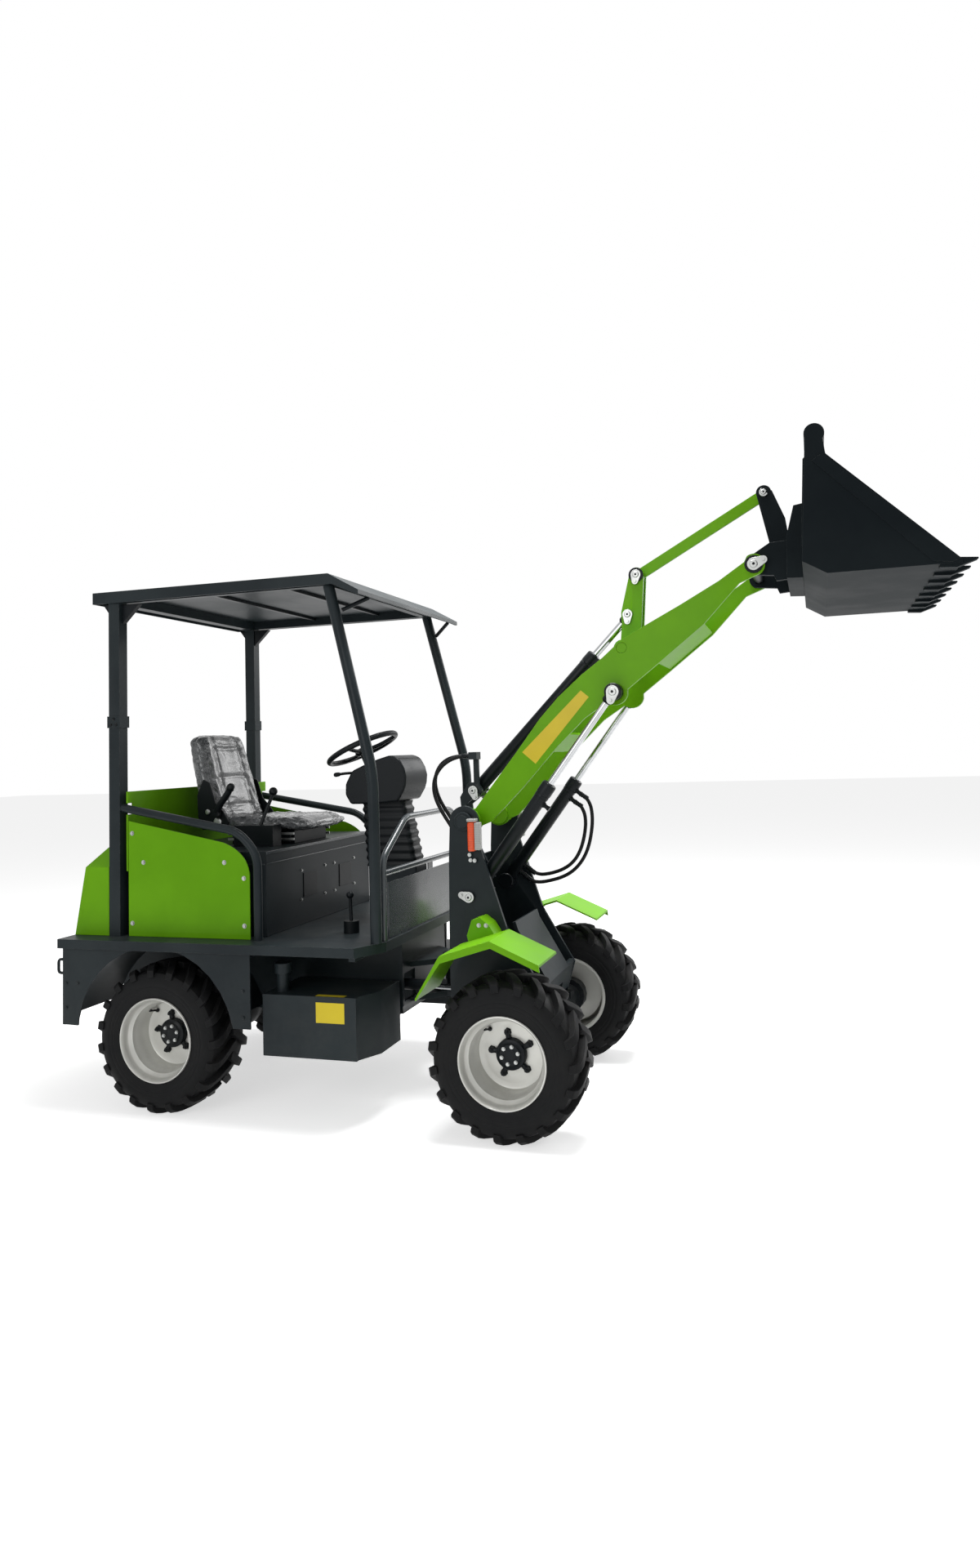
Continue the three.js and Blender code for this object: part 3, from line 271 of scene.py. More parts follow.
def build(name, bm, *settings, sharp=32):
    """Finishes the mesh under construction and puts it in the scene, as place does."""
    return place(name, finish_mesh(name, bm, sharp), *settings)


def refine(node, material, bevel=1.6, segments=2, sharp=34):
    """A merged copy of a frame node with its edges rounded, standing for that node."""
    bm = bmesh.new()
    bm.from_mesh(frame["nodes"][node].data)
    bmesh.ops.remove_doubles(bm, verts=bm.verts, dist=0.0002)
    bmesh.ops.dissolve_limit(
        bm, angle_limit=math.radians(0.6), verts=bm.verts, edges=bm.edges)
    mesh = bpy.data.meshes.new(node + "_body")
    bm.to_mesh(mesh)
    bm.free()
    mesh.shade_smooth()
    mesh.set_sharp_from_angle(angle=math.radians(sharp))
    return place(node + "_body", mesh, BODY_OF[node], material, (node,),
                 bevel, segments, sharp)


# ---- material tools -------------------------------------------------------
def add_node(tree, kind, inputs=None, **settings):
    """A node with its settings; inputs are values, or sockets to be linked."""
    made = tree.nodes.new(kind)
    for name, value in settings.items():
        setattr(made, name, value)
    for name, value in (inputs or {}).items():
        if isinstance(value, bpy.types.NodeSocket):
            tree.links.new(value, made.inputs[name])
        else:
            made.inputs[name].default_value = value
    return made


MIX_FACTOR, MIX_A, MIX_B, MIX_OUT = 0, 6, 7, 2


def mix_colour(tree, factor, a, b, blend="MIX"):
    made = add_node(tree, "ShaderNodeMix", {MIX_FACTOR: factor, MIX_A: a, MIX_B: b},
                    data_type="RGBA", blend_type=blend)
    return made.outputs[MIX_OUT]


def maths(tree, operation, a, b=0.5, clamp=False):
    return add_node(tree, "ShaderNodeMath", {0: a, 1: b}, operation=operation,
                    use_clamp=clamp).outputs[0]


def noise_at(tree, where, scale, detail, roughness=0.5):
    return add_node(tree, "ShaderNodeTexNoise", {
        "Vector": where, "Scale": scale, "Detail": detail, "Roughness": roughness}).outputs[0]


def ramp(tree, value, low, high, to_low=0.0, to_high=1.0):
    return add_node(tree, "ShaderNodeMapRange", {
        "Value": value, "From Min": low, "From Max": high, "To Min": to_low, "To Max": to_high,
    }, interpolation_type="SMOOTHSTEP").outputs[0]


def new_group(name, inputs, outputs):
    tree = bpy.data.node_groups.new(name, "ShaderNodeTree")
    for title, value in inputs.items():
        socket = tree.interface.new_socket(title, in_out="INPUT", socket_type="NodeSocketFloat")
        socket.default_value = value
    for title in outputs:
        tree.interface.new_socket(title, in_out="OUTPUT", socket_type="NodeSocketFloat")
    start = tree.nodes.new("NodeGroupInput")
    end = tree.nodes.new("NodeGroupOutput")
    place_of = add_node(tree, "ShaderNodeTexCoord").outputs["Object"]
    return tree, start.outputs, end.inputs, place_of


def make_edge_wear():
    """Bare spots along edges: 1 where the paint has rubbed off."""
    tree, given, out, where = new_group(
        "Edge wear", {"Radius": 0.004, "Breakup": 60.0, "Amount": 0.5}, ["Mask"])
    bevel = add_node(tree, "ShaderNodeBevel", {"Radius": given["Radius"]}, samples=4)
    geometry = add_node(tree, "ShaderNodeNewGeometry")
    same = add_node(tree, "ShaderNodeVectorMath",
                    {0: bevel.outputs[0], 1: geometry.outputs["Normal"]},
                    operation="DOT_PRODUCT").outputs["Value"]
    turned = maths(tree, "SUBTRACT", 1.0, same)
    edge = ramp(tree, turned, 0.03, 0.22)
    speck = noise_at(tree, where, given["Breakup"], 5.0, 0.65)
    broken = ramp(tree, speck, 0.44, 0.60)
    mask = maths(tree, "MULTIPLY", edge, broken)
    tree.links.new(maths(tree, "MULTIPLY", mask, given["Amount"], True), out["Mask"])
    return tree


def make_dust():
    """Thin dust: more on surfaces that face up and low down on the machine."""
    tree, given, out, where = new_group("Dust", {"Amount": 0.3, "Scale": 7.0}, ["Mask"])
    geometry = add_node(tree, "ShaderNodeNewGeometry")
    facing = add_node(tree, "ShaderNodeSeparateXYZ", {0: geometry.outputs["Normal"]}).outputs["Z"]
    height = add_node(tree, "ShaderNodeSeparateXYZ", {0: where}).outputs["Z"]
    up = ramp(tree, facing, 0.2, 1.0)
    low = ramp(tree, height, 1.1, 0.1, 0.0, 0.55)
    cloud = noise_at(tree, where, given["Scale"], 8.0, 0.7)
    patches = ramp(tree, cloud, 0.38, 0.72)
    both = maths(tree, "ADD", up, low)
    mask = maths(tree, "MULTIPLY", maths(tree, "MULTIPLY", both, patches), given["Amount"], True)
    tree.links.new(mask, out["Mask"])
    return tree


def make_grain():
    """Orange peel or casting skin: a height, and a slow drift of tone around one half."""
    tree, given, out, where = new_group(
        "Grain", {"Scale": 500.0, "Drift scale": 3.0}, ["Height", "Drift"])
    fine = noise_at(tree, where, given["Scale"], 3.0)
    drift = noise_at(tree, where, given["Drift scale"], 4.0, 0.55)
    tree.links.new(fine, out["Height"])
    tree.links.new(ramp(tree, drift, 0.3, 0.7), out["Drift"])
    return tree


def make_creases():
    """Long irregular folds of thin film pulled over a shape: a height."""
    tree, given, out, where = new_group("Creases", {"Scale": 16.0, "Twist": 2.5}, ["Height"])
    bend = add_node(tree, "ShaderNodeTexNoise", {
        "Vector": where, "Scale": 9.0, "Detail": 2.0, "Distortion": given["Twist"]})
    moved = add_node(tree, "ShaderNodeVectorMath", {
        0: where, 1: bend.outputs["Color"], 2: (0.12, 0.12, 0.12)},
        operation="MULTIPLY_ADD").outputs[0]
    folds = add_node(tree, "ShaderNodeTexVoronoi", {
        "Vector": moved, "Scale": given["Scale"], "Smoothness": 0.35},
        feature="SMOOTH_F1").outputs["Distance"]
    ripple = noise_at(tree, moved, 60.0, 4.0)
    total = maths(tree, "ADD", folds, maths(tree, "MULTIPLY", ripple, 0.3))
    tree.links.new(total, out["Height"])
    return tree


GROUPS = {
    "wear": make_edge_wear(),
    "dust": make_dust(),
    "grain": make_grain(),
    "creases": make_creases(),
}


def use_group(tree, key, **values):
    made = add_node(tree, "ShaderNodeGroup", node_tree=GROUPS[key])
    for name, value in values.items():
        made.inputs[name.replace("_", " ")].default_value = value
    return made.outputs


def new_material(name):
    material = bpy.data.materials.new(name)
    material.use_nodes = True
    tree = material.node_tree
    shader = tree.nodes["Principled BSDF"]
    return material, tree, shader


def rgb(r, g, b):
    return (r, g, b, 1.0)


DUST_COLOUR = rgb(0.30, 0.28, 0.24)
STEEL_COLOUR = rgb(0.34, 0.34, 0.33)


def add_bump(tree, shader, height, strength, distance):
    bump = add_node(tree, "ShaderNodeBump", {
        "Height": height, "Strength": strength, "Distance": distance})
    tree.links.new(bump.outputs[0], shader.inputs["Normal"])


def paint(name, colour, deep, roughness=0.35, coat=0.0, wear=0.5, dust=0.15, metal=0.0,
          peel=420.0, peel_depth=0.00006, gloss=0.2):
    """Sprayed paint: slow drift between two tones, rubbed edges, thin dust and orange peel."""
    material, tree, shader = new_material(name)
    grain = use_group(tree, "grain", Scale=peel, Drift_scale=2.4)
    tone = mix_colour(tree, grain["Drift"], deep, colour)
    rubbed = use_group(tree, "wear", Radius=0.0022, Breakup=45.0, Amount=wear)["Mask"]
    film = use_group(tree, "dust", Amount=dust, Scale=6.0)["Mask"]
    bared = mix_colour(tree, rubbed, tone, STEEL_COLOUR)
    dusty = mix_colour(tree, film, bared, DUST_COLOUR)
    tree.links.new(dusty, shader.inputs["Base Color"])
    rough = ramp(tree, grain["Drift"], 0.0, 1.0, roughness - 0.04, roughness + 0.05)
    dull = maths(tree, "ADD", rough, maths(tree, "MULTIPLY", film, 0.5), True)
    tree.links.new(dull, shader.inputs["Roughness"])
    shader.inputs["Metallic"].default_value = metal
    shader.inputs["Specular IOR Level"].default_value = gloss
    shader.inputs["Coat Weight"].default_value = coat
    shader.inputs["Coat Roughness"].default_value = 0.12
    add_bump(tree, shader, grain["Height"], 0.5, peel_depth)
    return material


def metal(name, colour, roughness, scratches=220.0, depth=0.00003):
    """Bright metal with a faint drift in its polish."""
    material, tree, shader = new_material(name)
    grain = use_group(tree, "grain", Scale=scratches, Drift_scale=12.0)
    darker = tuple(0.82 * c for c in colour[:3]) + (1.0,)
    tree.links.new(mix_colour(tree, grain["Drift"], darker, colour),
                   shader.inputs["Base Color"])
    tree.links.new(ramp(tree, grain["Drift"], 0.0, 1.0, roughness * 0.8, roughness * 1.3),
                   shader.inputs["Roughness"])
    shader.inputs["Metallic"].default_value = 1.0
    add_bump(tree, shader, grain["Height"], 0.4, depth)
    return material


def rubber(name, colour, roughness, dust, grain_size=260.0, depth=0.0002):
    material, tree, shader = new_material(name)
    grain = use_group(tree, "grain", Scale=grain_size, Drift_scale=5.0)
    lighter = tuple(2.1 * c for c in colour[:3]) + (1.0,)
    tone = mix_colour(tree, grain["Drift"], colour, lighter)
    rubbed = use_group(tree, "wear", Radius=0.006, Breakup=30.0, Amount=0.55)["Mask"]
    film = use_group(tree, "dust", Amount=dust, Scale=9.0)["Mask"]
    scuffed = mix_colour(tree, rubbed, tone, rgb(0.035, 0.036, 0.036))
    tree.links.new(mix_colour(tree, film, scuffed, rgb(0.06, 0.056, 0.05)),
                   shader.inputs["Base Color"])
    tree.links.new(ramp(tree, grain["Drift"], 0.0, 1.0, roughness - 0.08, roughness + 0.06),
                   shader.inputs["Roughness"])
    shader.inputs["Specular IOR Level"].default_value = 0.12
    add_bump(tree, shader, grain["Height"], 0.6, depth)
    return material


def covered_vinyl():
    """Dark vinyl under a creased clear cover, which shines along its folds; its colour is also
    made lighter on the fold ridges as a painted highlight.
    """
    material, tree, shader = new_material("Seat vinyl under clear cover")
    folds = use_group(tree, "creases", Scale=13.0, Twist=2.5)["Height"]
    grain = use_group(tree, "grain", Scale=900.0, Drift_scale=20.0)
    # Painted highlight: the colour is lighter along the ridges of the folds, where the cover would
    # catch the light.
    fold_highlight_mask = ramp(tree, folds, 0.25, 0.75)
    tone = mix_colour(tree, fold_highlight_mask, rgb(0.022, 0.025, 0.028), rgb(0.085, 0.092, 0.098))
    tree.links.new(tone, shader.inputs["Base Color"])
    tree.links.new(ramp(tree, grain["Drift"], 0.0, 1.0, 0.30, 0.46), shader.inputs["Roughness"])
    shader.inputs["Coat Weight"].default_value = 1.0
    shader.inputs["Coat Roughness"].default_value = 0.16
    shader.inputs["Specular IOR Level"].default_value = 0.7
    height = maths(tree, "ADD", folds, maths(tree, "MULTIPLY", grain["Height"], 0.02))
    add_bump(tree, shader, height, 0.9, 0.014)
    return material


def lens(name, colour, glow):
    material, tree, shader = new_material(name)
    where = add_node(tree, "ShaderNodeTexCoord").outputs["Object"]
    flutes = add_node(tree, "ShaderNodeTexWave", {
        "Vector": where, "Scale": 55.0, "Distortion": 0.0},
        wave_type="BANDS", bands_direction="Z").outputs["Fac"]
    tone = mix_colour(tree, flutes, tuple(0.7 * c for c in colour[:3]) + (1.0,), colour)
    tree.links.new(tone, shader.inputs["Base Color"])
    tree.links.new(tone, shader.inputs["Emission Color"])
    shader.inputs["Emission Strength"].default_value = glow
    shader.inputs["Roughness"].default_value = 0.18
    shader.inputs["Specular IOR Level"].default_value = 0.3
    shader.inputs["Coat Weight"].default_value = 0.3
    add_bump(tree, shader, flutes, 0.6, 0.0015)
    return material


GREEN = paint("Green paint", rgb(0.150, 0.400, 0.006), rgb(0.120, 0.335, 0.003), 0.42, 0.06,
              0.2, 0.03, gloss=0.07)
CHARCOAL = paint("Charcoal paint", rgb(0.020, 0.027, 0.030), rgb(0.011, 0.016, 0.019), 0.38,
                 0.03, 0.3, 0.05, gloss=0.12)
DARK_STEEL = paint("Dark bucket paint", rgb(0.011, 0.015, 0.017), rgb(0.006, 0.009, 0.011),
                   0.55, 0.0, 0.5, 0.08, peel=160.0, peel_depth=0.00015, gloss=0.05)
FRAME_GREY = paint("Guard tube paint", rgb(0.045, 0.054, 0.060), rgb(0.033, 0.041, 0.047),
                   0.26, 0.3, 0.2, 0.04, gloss=0.35)
BLACK = paint("Black paint", rgb(0.007, 0.009, 0.011), rgb(0.004, 0.006, 0.007), 0.36, 0.03,
              0.3, 0.04, gloss=0.12)
PLASTIC = paint("Black moulded plastic", rgb(0.008, 0.010, 0.012), rgb(0.005, 0.007, 0.008),
                0.38, 0.0, 0.1, 0.04, peel=700.0, peel_depth=0.00012, gloss=0.14)
RIM = paint("Rim paint", rgb(0.66, 0.66, 0.62), rgb(0.55, 0.55, 0.52), 0.34, 0.2, 0.15, 0.22,
            metal=0.25, gloss=0.4)
YELLOW = paint("Blank label", rgb(0.70, 0.55, 0.025), rgb(0.62, 0.47, 0.018), 0.4, 0.1, 0.0,
               0.04)
ZINC = metal("Zinc plate", rgb(0.42, 0.43, 0.42), 0.38, 300.0)
CHROME = metal("Hard chrome", rgb(0.50, 0.51, 0.52), 0.16, 90.0, 0.00001)
TYRE = rubber("Tyre rubber", rgb(0.0035, 0.0037, 0.004), 0.62, 0.10)
HOSE_RUBBER = rubber("Hose rubber", rgb(0.005, 0.0053, 0.0057), 0.4, 0.05, 500.0, 0.0001)
VINYL = covered_vinyl()
AMBER = lens("Amber lens", rgb(0.80, 0.075, 0.006), 0.15)
CLEAR = lens("Pale lens", rgb(0.45, 0.45, 0.44), 0.02)


# ---- repeats --------------------------------------------------------------
def new_geometry_tree(name, inputs):
    tree = bpy.data.node_groups.new(name, "GeometryNodeTree")
    tree.interface.new_socket("Geometry", in_out="INPUT", socket_type="NodeSocketGeometry")
    for title, (kind, value) in inputs.items():
        socket = tree.interface.new_socket(title, in_out="INPUT", socket_type=kind)
        if value is not None:
            socket.default_value = value
    tree.interface.new_socket("Geometry", in_out="OUTPUT", socket_type="NodeSocketGeometry")
    start = tree.nodes.new("NodeGroupInput")
    end = tree.nodes.new("NodeGroupOutput")
    return tree, start.outputs, end.inputs[0]


def end_tree(tree, instances, material, out):
    real = add_node(tree, "GeometryNodeRealizeInstances", {0: instances})
    coloured = add_node(tree, "GeometryNodeSetMaterial",
                        {"Geometry": real.outputs[0], "Material": material})
    tree.links.new(coloured.outputs[0], out)


def make_bolt_tree():
    """A hexagon head on a washer at each point, standing along the point's aim."""
    tree, given, out = new_geometry_tree("Bolt heads", {
        "Head radius": ("NodeSocketFloat", 0.009),
        "Head height": ("NodeSocketFloat", 0.006),
        "Washer radius": ("NodeSocketFloat", 0.012),
        "Washer thickness": ("NodeSocketFloat", 0.002),
        "Material": ("NodeSocketMaterial", None),
    })
    aim = add_node(tree, "GeometryNodeInputNamedAttribute", {"Name": "aim"},
                   data_type="FLOAT_VECTOR").outputs[0]
    turn = add_node(tree, "FunctionNodeAlignRotationToVector", {"Vector": aim}, axis="Z")
    head = add_node(tree, "GeometryNodeMeshCylinder", {
        "Vertices": 6, "Radius": given["Head radius"], "Depth": given["Head height"]})
    lift = maths(tree, "MULTIPLY_ADD", given["Head height"], 0.5)
    lift.node.inputs[2].default_value = 0.0015
    up = add_node(tree, "ShaderNodeCombineXYZ", {"Z": lift}).outputs[0]
    raised = add_node(tree, "GeometryNodeTransform",
                      {"Geometry": head.outputs[0], "Translation": up})
    washer = add_node(tree, "GeometryNodeMeshCylinder", {
        "Vertices": 18, "Radius": given["Washer radius"], "Depth": given["Washer thickness"]})
    shape = add_node(tree, "GeometryNodeJoinGeometry")
    tree.links.new(raised.outputs[0], shape.inputs[0])
    tree.links.new(washer.outputs[0], shape.inputs[0])
    spread = add_node(tree, "GeometryNodeInstanceOnPoints", {
        "Points": given["Geometry"], "Instance": shape.outputs[0],
        "Rotation": turn.outputs[0]})
    end_tree(tree, spread.outputs[0], given["Material"], out)
    return tree


def make_ring_tree():
    """The given shape repeated round the wheel's axis, Count times."""
    tree, given, out = new_geometry_tree("Ring of lugs", {
        "Count": ("NodeSocketInt", 19),
        "Material": ("NodeSocketMaterial", None),
    })
    points = add_node(tree, "GeometryNodePoints", {"Count": given["Count"]})
    index = add_node(tree, "GeometryNodeInputIndex").outputs[0]
    step = maths(tree, "DIVIDE", 2 * math.pi, given["Count"])
    angle = maths(tree, "MULTIPLY", index, step)
    euler = add_node(tree, "ShaderNodeCombineXYZ", {"Y": angle}).outputs[0]
    turn = add_node(tree, "FunctionNodeEulerToRotation", {0: euler})
    spread = add_node(tree, "GeometryNodeInstanceOnPoints", {
        "Points": points.outputs[0], "Instance": given["Geometry"],
        "Rotation": turn.outputs[0]})
    end_tree(tree, spread.outputs[0], given["Material"], out)
    return tree


BOLT_TREE = make_bolt_tree()
RING_TREE = make_ring_tree()


def grow(mesh, tree, **values):
    """The mesh that a tree makes from a mesh, with its named inputs set."""
    holder = bpy.data.objects.new("grower", mesh)
    bpy.context.scene.collection.objects.link(holder)
    modifier = holder.modifiers.new("Grow", "NODES")
    modifier.node_group = tree
    for socket in tree.interface.items_tree:
        key = socket.name.replace(" ", "_")
        if socket.in_out == "INPUT" and key in values:
            modifier[socket.identifier] = values[key]
    bpy.context.view_layer.update()
    ready = holder.evaluated_get(bpy.context.evaluated_depsgraph_get())
    made = bpy.data.meshes.new_from_object(ready)
    bpy.data.objects.remove(holder)
    return made


def bolts(name, body, spots, head=9, height=6, washer=12, material=None):
    """Bolt heads at spots, each (place, aim) with the place in the drawing's millimetres."""
    material = material or ZINC
    mesh = bpy.data.meshes.new(name)
    mesh.from_pydata([at(*spot) for spot, _ in spots], [], [])
    aims = mesh.attributes.new("aim", "FLOAT_VECTOR", "POINT")
    for item, (_, aim) in zip(aims.data, spots):
        item.vector = aim
    made = grow(mesh, BOLT_TREE, Head_radius=head * MM, Head_height=height * MM,
                Washer_radius=washer * MM, Material=material)
    made.set_sharp_from_angle(angle=math.radians(30))
    return place(name, made, body, material)


# ---- hoses ----------------------------------------------------------------
FERRULE = [
    (0, 0.6), (11.5, 0.6), (12, 3), (12, 10), (10.5, 12), (10.5, 14), (12, 16), (12, 34),
    (10.5, 38), (0, 38),
]


def make_hoses():
    """Four braided hoses, each with a crimped ferrule at both ends."""
    for name, points in HOSES.items():
        body = BODY_OF[name]
        route = smooth_route([at(*p) for p in points])
        bm = bmesh.new()
        tube(bm, route, HOSE_R, 16)
        hose = build(name + "_rubber", bm, body, HOSE_RUBBER,
                     (name,))
        bm = bmesh.new()
        for end, inner in ((route[0], route[3]), (route[-1], route[-4])):
            lathe(bm, FERRULE, end, inner - end, 18)
        ferrules = build(name + "_ferrules", bm, body, BLACK)


# ---- wheels ---------------------------------------------------------------
# A lug's stations from the crown to the sidewall: distance out from the middle, radius, turn in
# degrees, and how far its root has leaned over from the radius.
LUG = [
    (-12, 339, 0.0, 0), (20, 340, 3.0, 0), (55, 340, 7.0, 0), (90, 338, 11.0, 5),
    (117, 331, 13.5, 25), (133, 317, 14.5, 50), (138, 300, 15.0, 78), (138.6, 286, 15.0, 90),
]
LUG_HALF = 18.5
LUG_DEPTH = 30
LUG_COUNT = 19


def lug(bm, side, start):
    rings = []
    for k, (out, radius, turn, lean) in enumerate(LUG):
        half = LUG_HALF - (4 if k == 0 else 0)
        lean = math.radians(lean)
        root_r = radius - LUG_DEPTH * math.cos(lean)
        root_y = out - LUG_DEPTH * math.sin(lean)
        ring = []
        for r, y, w in ((root_r, root_y, -half - 6), (radius, out, -half),
                        (radius, out, half), (root_r, root_y, half + 6)):
            a = math.radians(start + turn) + w / 330
            ring.append(bm.verts.new(Vector((r * math.sin(a), side * y, r * math.cos(a))) * MM))
        rings.append(ring)
    join_rings(bm, rings)
    bm.faces.new(rings[0])
    bm.faces.new(list(reversed(rings[-1])))


def tread_mesh():
    """The lugs of one tyre about the origin, both halves, half a pitch apart."""
    bm = bmesh.new()
    lug(bm, 1, 0)
    lug(bm, -1, 180 / LUG_COUNT)
    bmesh.ops.recalc_face_normals(bm, faces=bm.faces)
    template = bpy.data.meshes.new("lug")
    bm.to_mesh(template)
    bm.free()
    return grow(template, RING_TREE, Count=LUG_COUNT, Material=TYRE)


CARCASS_HALF = [
    (312, 0), (312, 60), (310, 100), (303, 121), (290, 131), (272, 136.5), (262, 138.6),
    (250, 138.8), (247, 137.2), (244, 138.6), (232, 137.6), (229, 136.0), (226, 137.2),
    (212, 135), (200, 132.5), (192, 130.8), (182, 128),
]


def tyre_carcass(bm, centre):
    inner = [(r, -y) for r, y in reversed(CARCASS_HALF[1:])]
    lathe(bm, inner + CARCASS_HALF, centre, Y_AXIS, 96, loop=True)


RIM_SECTION = [
    (192, 131.6), (192, 135), (190, 138), (186, 139), (182, 134), (179, 118), (177, 102),
    (173, 96), (161, 84), (158, 60), (151, 50), (149.5, 0), (149, -20), (146, -22), (120, -23),
    (92, -21), (70, -22), (0, -22), (0, -34), (152, -34), (156, -30), (163, 50), (172, 60),
    (174, 56), (174, -126), (192, -134), (192, -131.6), (181.5, -131.6), (181.5, 131.6),
]
HUB_SECTION = [
    (0, -81), (69, -81), (69, -30), (66, -22), (66, 2), (63, 8), (52, 11), (47, 15), (44, 19),
    (30, 19), (27, 17), (24, 18), (12, 19), (0, 19),
]
NUT_RING = 90
HUB_BOLT_RING = 37


def make_wheel(end, side, x):
    label = f"{end}_{SIDE_NAME[side]}"
    body = "wheel_" + label
    centre = at(x, side * WHEEL_Y, WHEEL_Z)
    out = Y_AXIS * side
    bm = bmesh.new()
    tyre_carcass(bm, centre)
    treads = tread_mesh()
    treads.transform(Matrix.Translation(centre) @ Matrix.Scale(side, 4, Y_AXIS))
    bm.from_mesh(treads)
    build("tyre_body_" + label, bm, body, TYRE, ("tyre_" + label,), 3.0, 2, 40, sharp=30)
    bm = bmesh.new()
    lathe(bm, RIM_SECTION, centre, out, 72, loop=False)
    lathe(bm, [RIM_SECTION[-1], RIM_SECTION[0]], centre, out, 72)
    build("rim_body_" + label, bm, body, RIM, ("rim_" + label,), sharp=35)
    bm = bmesh.new()
    lathe(bm, HUB_SECTION, centre, out, 40)
    for k in range(5):
        turn = 2 * math.pi * (k + 0.4) / 5
        spot = centre + Vector((math.cos(turn), 0, math.sin(turn))) * (NUT_RING * MM)
        arm = centre + Vector((math.cos(turn), 0, math.sin(turn))) * (66 * MM)
        tube(bm, [arm - out * 0.014, spot - out * 0.014], 12, 8)
        lathe(bm, [(0, -24), (17, -24), (17, -19), (13, -18), (13, -2), (11, 0), (7, 0.5),
                   (7, 9), (5, 10), (0, 10)], spot, out, 6)
    build("hub_" + label, bm, body, BLACK, (), 0.8, 1, sharp=30)
    spots = []
    for k in range(6):
        turn = 2 * math.pi * (k + 0.25) / 6
        shift = Vector((math.cos(turn), 0, math.sin(turn))) * HUB_BOLT_RING
        spots.append((
            (x + shift.x, side * (WHEEL_Y + 19.5), WHEEL_Z + shift.z), tuple(out)))
    bolts("hub_bolts_" + label, body, spots, 7, 5, 8.5)
    valve = centre + Vector((-0.105, 0, 0.105)) + out * 0.03
    bm = bmesh.new()
    lathe(bm, [(0, -52), (9, -52), (9, -46), (5, -44), (4, -12), (5.5, -11), (5.5, 0), (0, 0)],
          valve, out + Vector((-0.2, 0, 0.2)), 12)
    build("valve_" + label, bm, body, BLACK)


def make_wheels():
    for side in SIDES:
        make_wheel("rear", side, 0)
        make_wheel("front", side, WHEELBASE)


# ---- seat -----------------------------------------------------------------
def lofted_pad(stations, section, count=96):
    """A closed soft form; each station is (share of the length, (centre, direction of the
    thickness, half width, half thickness))."""
    bm = bmesh.new()
    rings = []
    for t, (centre, ahead, half, thick) in stations:
        ring = []
        for k in range(count):
            a = 2 * math.pi * k / count
            across, depth = section(t, a, half, thick)
            spot = centre + Y_AXIS * across * MM + ahead * depth * MM
            ring.append(bm.verts.new(spot))
        rings.append(ring)
    join_rings(bm, rings)
    for ring in (rings[0], rings[-1]):
        middle = sum((v.co for v in ring), Vector()) / count
        pole = bm.verts.new(middle)
        for k in range(count):
            bm.faces.new((ring[k], ring[(k + 1) % count], pole))
    return bm


def squarish(a, power):
    """The unit superellipse point at angle a."""
    c, s = math.cos(a), math.sin(a)
    return (math.copysign(abs(c) ** (2 / power), c), math.copysign(abs(s) ** (2 / power), s))


def groove(value, place_of, width):
    """A narrow dip of depth 1 at place_of."""
    return math.exp(-((value - place_of) / width) ** 2)


CREASE_SEED = 7


def wrinkle(bm, amount, scale, shift):
    """Moves vertices along their normals by folded noise, as film or vinyl creases.

    The noise starts from the clock unless it is seeded, so the seed keeps every run the same.
    """
    noise.seed_set(CREASE_SEED)
    bm.normal_update()
    moves = []
    for v in bm.verts:
        p = v.co * scale + Vector((shift, shift * 0.7, 0))
        warp = noise.noise_vector(p * 0.6) * 1.4
        fold = 1 - 2 * abs(noise.noise(p + warp))
        fine = 1 - 2 * abs(noise.noise((p + warp) * 2.3))
        moves.append(v.normal * (amount * MM * (0.7 * fold ** 3 + 0.4 * fine ** 3 - 0.3)))
    for v, move in zip(bm.verts, moves):
        v.co += move


BACKREST_LINE = [  # front and back of the backrest from the cushion up, in X and Z
    ((32, 1262), (-58, 1258)), ((36, 1330), (-72, 1320)), ((20, 1372), (-98, 1370)),
    ((-12, 1480), (-126, 1460)), ((-38, 1580), (-152, 1560)), ((-68, 1690), (-176, 1662)),
    ((-88, 1734), (-184, 1708)), ((-110, 1757), (-172, 1744)),
]


def backrest_section(t, a, half, thick):
    c, s = squarish(a, 3.4)
    across = half * c
    depth = thick * s
    if s > 0:
        u = abs(c)
        bolster = 16 * math.exp(-((u - 0.78) / 0.16) ** 2)
        seams = 9 * groove(u, 0.0, 0.035) + 7 * groove(u, 0.52, 0.03)
        rows = sum(8 * groove(t, row, 0.013) for row in (0.30, 0.50, 0.70))
        inside = 1 if u < 0.55 else max(0.0, 1 - (u - 0.55) / 0.1)
        swell = 7 * math.cos(u * math.pi / 2)
        depth += s * (bolster - seams - rows * inside + swell) * min(1, 8 * t, 8 * (1 - t))
    return across, depth


def interpolate(points, t):
    k = min(int(t * (len(points) - 1)), len(points) - 2)
    f = t * (len(points) - 1) - k
    return points[k].lerp(points[k + 1], f)


def make_backrest():
    fronts = smooth_route([at(x, 0, z) for (x, z), _ in BACKREST_LINE], 10)
    backs = smooth_route([at(x, 0, z) for _, (x, z) in BACKREST_LINE], 10)
    stations = []
    steps = 70
    for i in range(steps + 1):
        t = i / steps
        front = interpolate(fronts, t)
        back = interpolate(backs, t)
        ahead = (front - back).normalized()
        thick = (front - back).length / MM / 2
        half = 229 - 36 * max(0, t - 0.45) / 0.55
        closing = min(1, t / 0.05, (1 - t) / 0.12)
        rounding = math.sqrt(max(0.02, 1 - (1 - closing) ** 2))
        corner = math.sqrt(max(0.05, 1 - (1 - min(1, (1 - t) / 0.17)) ** 2))
        half = half * (0.7 + 0.3 * corner) * (0.9 + 0.1 * rounding)
        stations.append((t, ((front + back) / 2, ahead, half, (thick - 7) * rounding)))
    bm = lofted_pad(stations, backrest_section)
    wrinkle(bm, 7, 17, 3.1)
    piece = build("seat_backrest_cover", bm, "rear_frame", VINYL, ("seat_backrest",), sharp=80)


